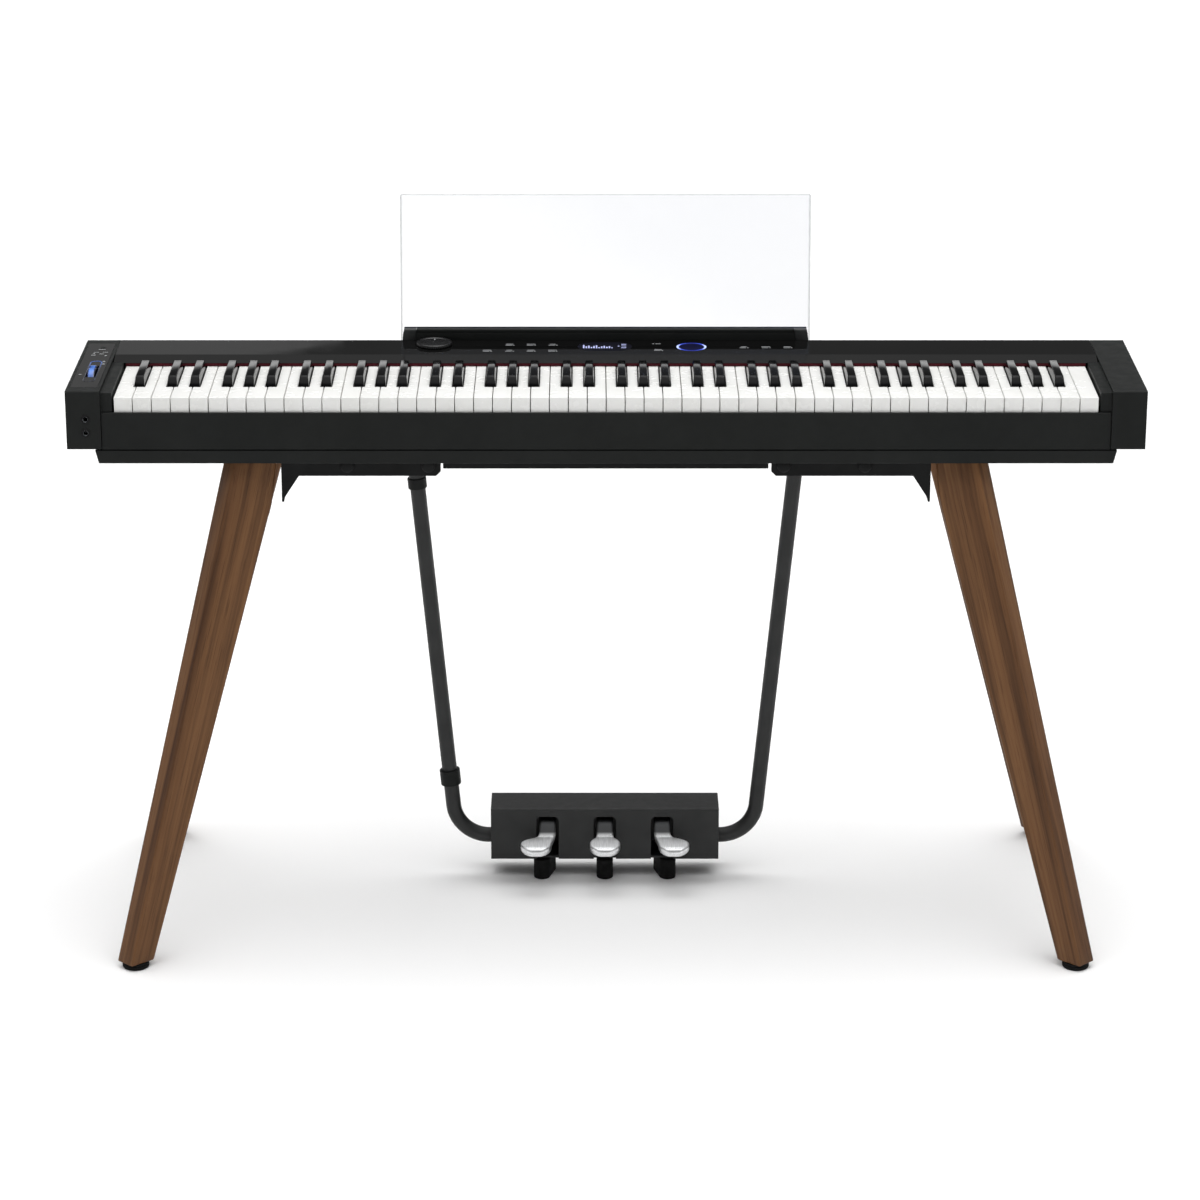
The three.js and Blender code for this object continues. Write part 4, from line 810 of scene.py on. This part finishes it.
def wheel_finish():
    """Clear blue plastic lit from inside and cloudy; its middle is brightened as a painted highlight
    and its flanks are darkened as painted shade.
    """
    f = Finish("glow_blue", linear(36, 66, 130), 0.14)
    cloud = f.noise(55, 2.0)
    aside = f.maths("ABSOLUTE", f.maths("SUBTRACT", f.place()["X"], WHEEL_X))
    # Painted highlight and shade: the glow stays full along the middle of the tread and drops away
    # over its flanks, beyond 2.5 mm to either side.
    light = f.maths("SUBTRACT", cloud, f.along(aside, 2.5 * MM, 4.5 * MM, 0, 0.7))
    glow = f.ramp(light, [(0.0, linear(8, 12, 26)), (0.35, linear(26, 58, 124)),
                          (0.65, linear(62, 112, 194))])
    f.join(glow, f.shader.inputs["Emission Color"]).join(glow, f.shader.inputs["Base Color"])
    f.wear(f.noise(400), 0.12, 0.26)
    return f.set(**{"Emission Strength": 0.12, "Coat Weight": 0.1})


def wheel_rings():
    """Side-to-side profile of the wheel, spun round its axle: the rim is crowned, and a
    finger notch is a smooth dip of the radius about the upward direction."""
    radius, half = (wheel_high.z - wheel_low.z) / 2 + 0.1 * MM, (wheel_high.x - wheel_low.x) / 2
    across = np.array([-1, -1, -0.97, -0.86, -0.6, -0.2, 0.2, 0.6, 0.86, 0.97, 1, 1]) * half
    share = np.array([0.02, 0.955, 0.975, 0.99, 0.998, 1, 1, 0.998, 0.99, 0.975, 0.955, 0.02])
    angle = np.arange(WHEEL_SIDES) * 2 * np.pi / WHEEL_SIDES
    dip = 2.4 * MM * np.exp(-((np.angle(np.exp(1j * (angle - np.pi / 2)))) / 0.17) ** 2)
    reach = radius * share[:, None] - dip * (share[:, None] > 0.5)
    axle = PANEL_Z - WHEEL_AXLE_DEPTH
    x = np.broadcast_to((WHEEL_X + across)[:, None], reach.shape)
    y = (wheel_low.y + wheel_high.y) / 2 + reach * np.cos(angle)
    return np.stack([x, y, axle + reach * np.sin(angle)], -1)


skin("bend_wheel", wheel_rings(), wheel_finish(), "pitch_wheel", ["pitch_wheel"])


def surround_rings(length, width, border):
    """Two oval outlines, one inside the other, joined by a low rounded rim."""
    centre = np.array([WHEEL_X, (wheel_low.y + wheel_high.y) / 2])
    corners = np.array([[-width, -length], [width, -length], [width, length], [-width, length]]) / 2
    path = [(0, 0.02), (0.1, 0.3), (0.35, 0.45), (0.65, 0.45), (0.9, 0.3), (1, 0.02)]
    return np.stack([np.insert(arcs(corners, np.full(4, 0.49 * width), share * border, 12) + centre, 2,
                               PANEL_Z + rise * MM, 1) for share, rise in path])


def surround_finish():
    """Light guide round the wheel: bright behind it, fading out towards the front."""
    f = Finish("light_guide", linear(20, 30, 70), 0.2)
    glow = f.ramp(f.along(f.place()["Y"], -85 * MM, 20 * MM),
                  [(0.0, linear(10, 12, 18)), (0.6, linear(16, 26, 54)),
                   (1.0, linear(62, 96, 168))])
    f.join(glow, f.shader.inputs["Emission Color"]).join(glow, f.shader.inputs["Base Color"])
    return f.wear(f.noise(300), 0.15, 0.3).set(**{"Emission Strength": 0.25})


skin("wheel_surround", surround_rings(96 * MM, 15.4 * MM, 1.4 * MM), surround_finish(), "piano",
     closed=True)

# ---- Sockets ----------------------------------------------------------------------------
# Two headphone sockets in the front of the left end cap and the power inlet at the rear:
# a threaded collar, a flange and a blind bore.
def socket_profile(length, bore):
    """Section from the blind end of the bore out over the flange and back along the body."""
    return np.array([[0.02, 17], [bore, 17], [bore, 0.4], [bore + 0.4, -0.5], [bore + 0.9, -0.8],
                     [5.3, -0.8], [5.8, -0.4], [5.8, 0], [4.7, 0], [4.7, length - 0.6],
                     [4.2, length], [0.02, length]]) * MM


socket_finish = Finish("socket_black", linear(16, 16, 17), 0.4).set(**{"Specular IOR Level": 0.12})
socket_finish.shade(socket_finish.noise(120), linear(13, 13, 14), linear(21, 21, 22))
socket_finish.wear(socket_finish.noise(300), 0.34, 0.46)
socket_finish.relief(socket_finish.noise(1500), 0.00002, 0.3)
contact = zinc_finish()
for node, bore, outward in (("headphone_jack_upper", 3.25, -1), ("headphone_jack_lower", 3.25, -1),
                            ("power_inlet", 3.25, 1)):
    low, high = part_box(node)
    mouth = low.y + 0.8 * MM if outward < 0 else high.y - 0.8 * MM
    spot = np.array([(low.x + high.x) / 2, mouth, (low.z + high.z) / 2])
    rings = turned(socket_profile(20, bore) * (1, -outward), spot, "y", 40)
    skin(node + "_bush", rings, socket_finish, "piano", [node])
    collar = np.array([[3.25, 0.3], [3.25, 3.5], [2.95, 3.5], [2.95, 0.6]]) * (MM, -outward * MM)
    skin(node + "_contact", turned(collar, spot, "y", 40), contact, "piano",
         closed=True)

# ---- Speakers and circuit board ---------------------------------------------------------
# Two small full-range drivers stand behind the slots of the rear panel, and the main board
# lies on posts in the tray. Only the drivers can be glimpsed from outside.
cone_finish = Finish("speaker_cone", linear(30, 30, 31), 0.7)
cone_finish.shade(cone_finish.noise(400, 5.0), linear(22, 22, 23), linear(42, 42, 43))
cone_finish.wear(cone_finish.noise(90), 0.6, 0.8).relief(cone_finish.noise(900, 4.0), 0.0001, 0.6)
board_finish = Finish("board_green", linear(26, 84, 54), 0.45)
board_finish.shade(board_finish.noise(260, 1.0, (1, 0.3, 1)),
                   linear(20, 70, 44), linear(34, 98, 64))
board_finish.wear(board_finish.noise(120), 0.35, 0.55)
board_finish.relief(board_finish.noise(600, 1.0), 0.00005, 0.5)
dress("speaker_left", cone_finish)
dress("speaker_right", cone_finish)
dress("main_board", board_finish)

# ---- Music rest -------------------------------------------------------------------------
# A clear acrylic sheet with polished edges leans back in the slot of a black ledge behind
# the housing. The ledge has moulded end blocks and a fine groove along its face.
sheet_low, sheet_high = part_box("music_rest")


def acrylic_finish():
    """Nearly invisible face with a faint cool tint; a painted reflection makes it a little more opaque
    upwards and to the right, and a painted edge reflection makes a band along its side and top edges
    greyer and more opaque.
    """
    f = Finish("clear_acrylic", linear(150, 160, 178), 0.05)
    x, _, z = f.place()
    # Painted reflection: the face's cover rises along a diagonal, upwards and to the right.
    body = f.along(f.maths("ADD", f.maths("MULTIPLY", z, 1.2), x), 0.62, 1.1, 0.02, 0.1)
    # Painted edge reflection: the last millimetres by the side and top edges turn greyer and more
    # opaque.
    side = f.along(f.maths("ABSOLUTE", x), sheet_high.x - 3 * MM, sheet_high.x - 1 * MM)
    top = f.along(z, sheet_high.z - 2 * MM, sheet_high.z - 0.5 * MM)
    rim = f.maths("MAXIMUM", side, top)
    cover = f.node("ShaderNodeMix", {"B": 0.32})
    f.join(rim, cover.inputs["Factor"]).join(body, cover.inputs["A"])
    f.join(cover.outputs["Result"], f.shader.inputs["Alpha"])
    tint = f.ramp(rim, [(0.2, linear(148, 160, 184)), (0.8, linear(140, 146, 150))])
    f.join(tint, f.shader.inputs["Base Color"])
    f.wear(f.noise(8), 0.03, 0.07)
    return f.set(**{"Specular IOR Level": 0.25})


def sheet_rings(width, thickness, length, corner, edge):
    """Rounded rectangle through the sheet's thickness, its rims rolled by quarter circles."""
    depth, inset = rolled(0, thickness, edge, 3)
    corners = np.array([[-width / 2, 0], [width / 2, 0], [width / 2, length], [-width / 2, length]])
    radii = np.array([0.6 * MM, 0.6 * MM, corner, corner])
    return np.stack([np.insert(arcs(corners, radii, i, 9), 1, d, 1) for d, i in zip(depth, inset)])


LEAN = math.radians(10.5)
SHEET_THICKNESS, SHEET_LENGTH = 4 * MM, 195 * MM
rings = sheet_rings(sheet_high.x - sheet_low.x, SHEET_THICKNESS, SHEET_LENGTH, 2.5 * MM, 0.5 * MM)
across, along = rings[..., 1].copy(), rings[..., 2].copy()
foot_z = sheet_high.z - SHEET_LENGTH * math.cos(LEAN)
rings[..., 1] = across * math.cos(LEAN) + along * math.sin(LEAN) + sheet_low.y
rings[..., 2] = along * math.cos(LEAN) - across * math.sin(LEAN) + foot_z
skin("music_rest_sheet", rings, acrylic_finish(), "music_rest", ["music_rest"])

ledge_low, ledge_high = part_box("music_rest_ledge")
LEDGE_SLANT = 3.5 * MM
BLOCK_WIDTH = 16 * MM


def ledge_rings(x0, x1, groove, edge):
    """The ledge's section carried along X, its ends rolled in and drawn in above the
    housing's top. The slot for the sheet leans back, and a groove runs along the front."""
    y0, y1, z0, z1 = ledge_low.y / MM, ledge_high.y / MM, ledge_low.z / MM, ledge_high.z / MM
    lean = math.tan(LEAN)
    slot_front, slot_rear, slot_floor = 126.0, 131.2, 720.0
    mouth = (z1 - slot_floor) * lean
    corners = [[y0, z0], [y1, z0], [y1, z1], [slot_rear + mouth, z1], [slot_rear, slot_floor],
               [slot_front, slot_floor], [slot_front + mouth, z1], [y0, z1], [y0, z1 - 3.4],
               [y0 + groove, z1 - 3.7], [y0 + groove, z1 - 4.5], [y0, z1 - 4.8]]
    radii = np.array([0.6, 0.6, 0.8, 0.35, 0.3, 0.3, 0.35, 0.9, 0.12, 0.1, 0.1, 0.12])
    x, inset = rolled(x0, x1, edge, 3)
    rings = np.stack([np.insert(arcs(np.array(corners) * MM, radii * MM, i, 4), 0, h, 1)
                      for h, i in zip(x, inset)])
    taper = LEDGE_SLANT * np.clip((rings[..., 2] - PANEL_Z) / (ledge_high.z - PANEL_Z), 0, 1)
    outer = abs(rings[..., 0]) > ledge_high.x - BLOCK_WIDTH * 1.5
    rings[..., 0] -= np.sign(rings[..., 0]) * taper * outer
    return rings


block_inner = ledge_high.x - BLOCK_WIDTH
skin("ledge_bar",
     ledge_rings(-block_inner + 0.15 * MM, block_inner - 0.15 * MM, 0.45, 0.25 * MM), case,
     "piano", ["music_rest_ledge"])
satin = Finish("block_satin", linear(40, 42, 42), 0.4)
satin.shade(satin.noise(30), linear(37, 39, 39), linear(46, 48, 48))
satin.wear(satin.noise(80), 0.34, 0.46)
satin.relief(satin.noise(2600, 2.0), 0.00004, 0.6)
for name, start, end in (("right", block_inner, ledge_high.x),
                         ("left", -ledge_high.x, -block_inner)):
    skin(f"ledge_block_{name}", ledge_rings(start, end, 0.06, 0.5 * MM), satin, "piano",
         ["music_rest_ledge"])

# ---- Pedal box --------------------------------------------------------------------------
# A folded black box with three notches in its front, on three stout rubber posts that
# reach under the pedals.
box_coat = powder_coat("box_black", 26, 0.4)
refined("pedal_box", box_coat, bevel=1.0)
for node in ("pedal_foot_left", "pedal_foot_middle", "pedal_foot_right"):
    refined(node, rubber, bevel=1.6, segments=4)

# ---- Pedals -----------------------------------------------------------------------------
# Three chromed castings hang on one shaft. Each arm drops in front of the box and flares to
# a broad spoon with a brushed top and a rounded, polished lip. The outer two splay outwards.
def chrome_finish():
    """Chrome, brushed on the spoon's upper face; above the spoon's level the arm is darkened as
    painted shade.
    """
    f = Finish("chrome", linear(214, 215, 216), 0.14, 1.0)
    brush = f.noise(900, 3.0, (1, 0.04, 1))
    height = f.place()["Z"]
    f.join(f.along(height, 61.2 * MM, 62.8 * MM, 0.36, 0.55), f.shader.inputs["Roughness"])
    # Painted shade: between 64.5 mm and 69 mm up, the colour fades to a dark grey, so the arm above
    # the spoon reads darker.
    tone = f.node("ShaderNodeMix", data_type="RGBA")
    tone.inputs["B"].default_value = linear(84, 85, 86)
    f.join(f.along(height, 64.5 * MM, 69 * MM), tone.inputs["Factor"])
    streaks = f.ramp(brush, [(0.3, linear(212, 213, 214)), (0.7, linear(238, 239, 240))])
    f.join(streaks, tone.inputs["A"])
    f.join(tone.outputs["Result"], f.shader.inputs["Base Color"])
    return f.relief(brush, 0.00004, 0.35)


chromed = chrome_finish()
PEDAL_PLACES = {"left": -76.5, "middle": 0.0, "right": 76.5}
BOX_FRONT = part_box("pedal_box")[0].y / MM
SHAFT = np.array([104, 76])
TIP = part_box("pedal_middle")[0].y / MM
PEDAL_SPLAY, SPOON, ARM = 15.0, 20.5, 11.0
TIP_CLOSE, TIP_ROLL = 17.0, 6.0


def bezier(points, count):
    """Cubic curve: the four points weighted by the Bernstein polynomials."""
    t = np.linspace(0, 1, count)[:, None]
    p = np.asarray(points, float)
    return ((1 - t) ** 3 * p[0] + 3 * (1 - t) ** 2 * t * p[1]
            + 3 * (1 - t) * t ** 2 * p[2] + t ** 3 * p[3])


def pedal_sections(sign, place):
    """Stations along Y with left and right edges, underside, top and thickness.

    Top and underside each follow a drop between two levels in front of the box. The edges
    run from arm to spoon: straight on the inner side of an outer pedal, in an S elsewhere.
    At the tip the plan closes in a quarter ellipse and the section in a quarter circle.
    All lengths are in millimetres.
    """
    f, hub = BOX_FRONT, SHAFT[0] - 5.4
    spoon_at = place + sign * PEDAL_SPLAY
    spoon_top = [[y, 63.0 + 0.025 * (y - TIP)] for y in (TIP, 26.0, 40.0)]
    drop = bezier([(f - 12, 64), (f - 4, 65.5), (f - 2, 81.5), (f + 10, 82)], 16)
    top = np.concatenate([spoon_top, drop, [[hub, 82.5]]])
    under = np.concatenate([[[TIP, 51.0], [30, 52.6], [42, 54]],
                            bezier([(f - 10, 55), (f - 2, 56), (f, 69.5), (f + 10, 70)], 16),
                            [[hub, 69.5]]])
    flare = bezier([(f - 3, 0), (f - 15, 0), (f - 15, 1), (f - 29, 1)], 16)
    slope = (f - 3 - flare[:, 0]) / 26
    turn = np.linspace(0, np.pi / 2, 16)
    tip_y = TIP + TIP_CLOSE * (1 - np.sin(turn))
    y = np.concatenate([np.linspace(hub, f + 10, 5), np.linspace(f + 9, f - 2, 9), flare[:, 0],
                        np.linspace(f - 29.6, TIP + TIP_CLOSE + 0.6, 3), tip_y])
    spread = np.concatenate([np.zeros(14), flare[:, 1], np.ones(19)])
    straight = np.concatenate([np.zeros(14), slope, np.ones(19)])
    close = np.concatenate([np.zeros(33), 16 * (1 - np.cos(turn))])
    edges = []
    for side in (-1, 1):
        course = straight if side == -sign else spread
        swing = (spoon_at - place + side * (SPOON - ARM)) * course
        edges.append(place + side * ARM + swing - side * close)
    depth = np.clip((y - TIP) / TIP_ROLL, 0, 1)
    roll = 1 - np.sqrt(1 - (1 - depth) ** 2)
    z0 = np.interp(y, under[:, 0], under[:, 1]) + 1.5 * roll
    z1 = np.interp(y, top[:, 0], top[:, 1]) - 7.5 * roll
    return y, *edges, z0, z1, z1 - z0


def pedal_rings(sign, place):
    """Rounded rectangles at the stations, each corner's radius a share of the thickness."""
    rows = zip(*pedal_sections(sign, place))
    share = np.array([0.5, 0.5, 0.3, 0.3])
    rings = [np.insert(arcs([[a, c], [b, c], [b, d], [a, d]], share * h, 0, 7), 1, y, 1)
             for y, a, b, c, d, h in rows]
    return np.stack(rings) * MM


for name, place in PEDAL_PLACES.items():
    node = f"pedal_{name}"
    skin(node + "_cast", pedal_rings(np.sign(place), place), chromed, node, [node],
         smooth=50)
    hub = np.array([[4.35, -10.4], [7.6, -10.4], [8, -10], [8, 10], [7.6, 10.4], [4.35, 10.4]]) * MM
    rings = turned(hub, (place * MM, SHAFT[0] * MM, SHAFT[1] * MM), "x", 40)
    skin(node + "_hub", rings, chromed, node, [node], closed=True)

# ---- Support tubes ----------------------------------------------------------------------
# Two bent steel tubes hang the pedal unit from the brackets. Two plastic clips on the left
# one keep the pedal cable in place.
TUBE_HEAD_X, TUBE_CORNER_X, TUBE_END_X, TUBE_END_Z = 252.0, 198.0, 152.3, 56.0
TUBE_BEND, TUBE_R, TUBE_Y = 48.0, 10.0, 78.0


def bent_path(side):
    """Centre line in X and Z, in millimetres: straight down, one arc, and into the box."""
    head = np.array([TUBE_HEAD_X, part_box("pedal_tube_right")[1].z / MM])
    corner, end = np.array([TUBE_CORNER_X, TUBE_END_Z]), np.array([TUBE_END_X, TUBE_END_Z])
    down = (corner - head) / np.linalg.norm(corner - head)
    turn = np.arccos(down @ (-1, 0))
    start = corner - down * TUBE_BEND * np.tan(turn / 2)
    normal = np.array([down[1], -down[0]])
    angle = np.linspace(0, turn, 21)[:, None]
    arc = start + TUBE_BEND * (normal * (1 - np.cos(angle)) + down * np.sin(angle))
    path = np.concatenate([head + (start - head) * np.linspace(0, 1, 12)[:-1, None], arc])
    if arc[-1, 0] > end[0] + 0.3:
        path = np.concatenate([path, [end]])
    return path * (side, 1)


def pipe_rings(path, radius, depth_at, sides=32):
    """Circles across the path, each in the plane that halves its bend; the first is cut
    level by sliding its points along the path."""
    d = np.gradient(path, axis=0)
    d /= np.linalg.norm(d, axis=1, keepdims=True)
    angle = np.arange(sides) * 2 * np.pi / sides
    u = radius * np.cos(angle)
    x = path[:, :1] - d[:, 1:] * u
    z = path[:, 1:] + d[:, :1] * u
    slide = (path[0, 1] - z[0]) / d[0, 1]
    x[0], z[0] = x[0] + slide * d[0, 0], path[0, 1]
    y = np.broadcast_to(depth_at + radius * np.sin(angle), x.shape)
    return np.stack([x, y, z], -1) * MM


for side, name in ((-1, "left"), (1, "right")):
    rings = pipe_rings(bent_path(side), TUBE_R, TUBE_Y)
    skin(f"support_tube_{name}", rings, box_coat, "piano", [f"pedal_tube_{name}"])
refined("cable_clip_upper", case, bevel=0.6)
refined("cable_clip_lower", case, bevel=0.8)

# ---- Screws and bolts -------------------------------------------------------------------
# Zinc-plated, round-headed screws with a round drive recess hold the rear panel, the tray
# and the pedal box together.
def screw_profile(radius, height):
    """Domed head with a round drive recess, seen from its axis outwards."""
    angle = np.linspace(0, np.pi / 2, 6)
    dome = np.stack([radius * (0.42 + 0.58 * np.sin(angle)), height * np.cos(angle)], 1)
    recess = [[1e-5, 0.35 * height], [0.3 * radius, 0.35 * height]]
    return np.concatenate([recess, dome, [[1e-5, 0]]])


def screw(name, spot, axis, out, radius=3.2, height=1.3):
    """One screw head at a spot in millimetres, its top towards out along the axis."""
    profile = screw_profile(radius * MM, height * MM) * (1, out)
    rings = turned(profile, np.array(spot) * MM, axis, 24)
    skin(name, rings, contact, "piano")


REAR_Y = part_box("rear_panel")[1].y / MM
TRAY_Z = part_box("bottom_case")[0].z / MM
for count, x in enumerate((-585, -300, 0, 300, 500)):
    screw(f"rear_screw_{count}", (x, REAR_Y + 0.02, 665), "y", 1)
for count, (x, y) in enumerate([(x, y) for x in (-560, -500, 0, 500, 560) for y in (-104, 104)]):
    screw(f"tray_screw_{count}", (x, y, TRAY_Z - 0.02), "z", -1)
BOX_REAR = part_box("pedal_box")[1].y / MM
for count, x in enumerate((-135, 0, 135)):
    screw(f"box_screw_{count}", (x, BOX_REAR + 0.02, 88), "y", 1, 2.6, 1.1)

low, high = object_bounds()
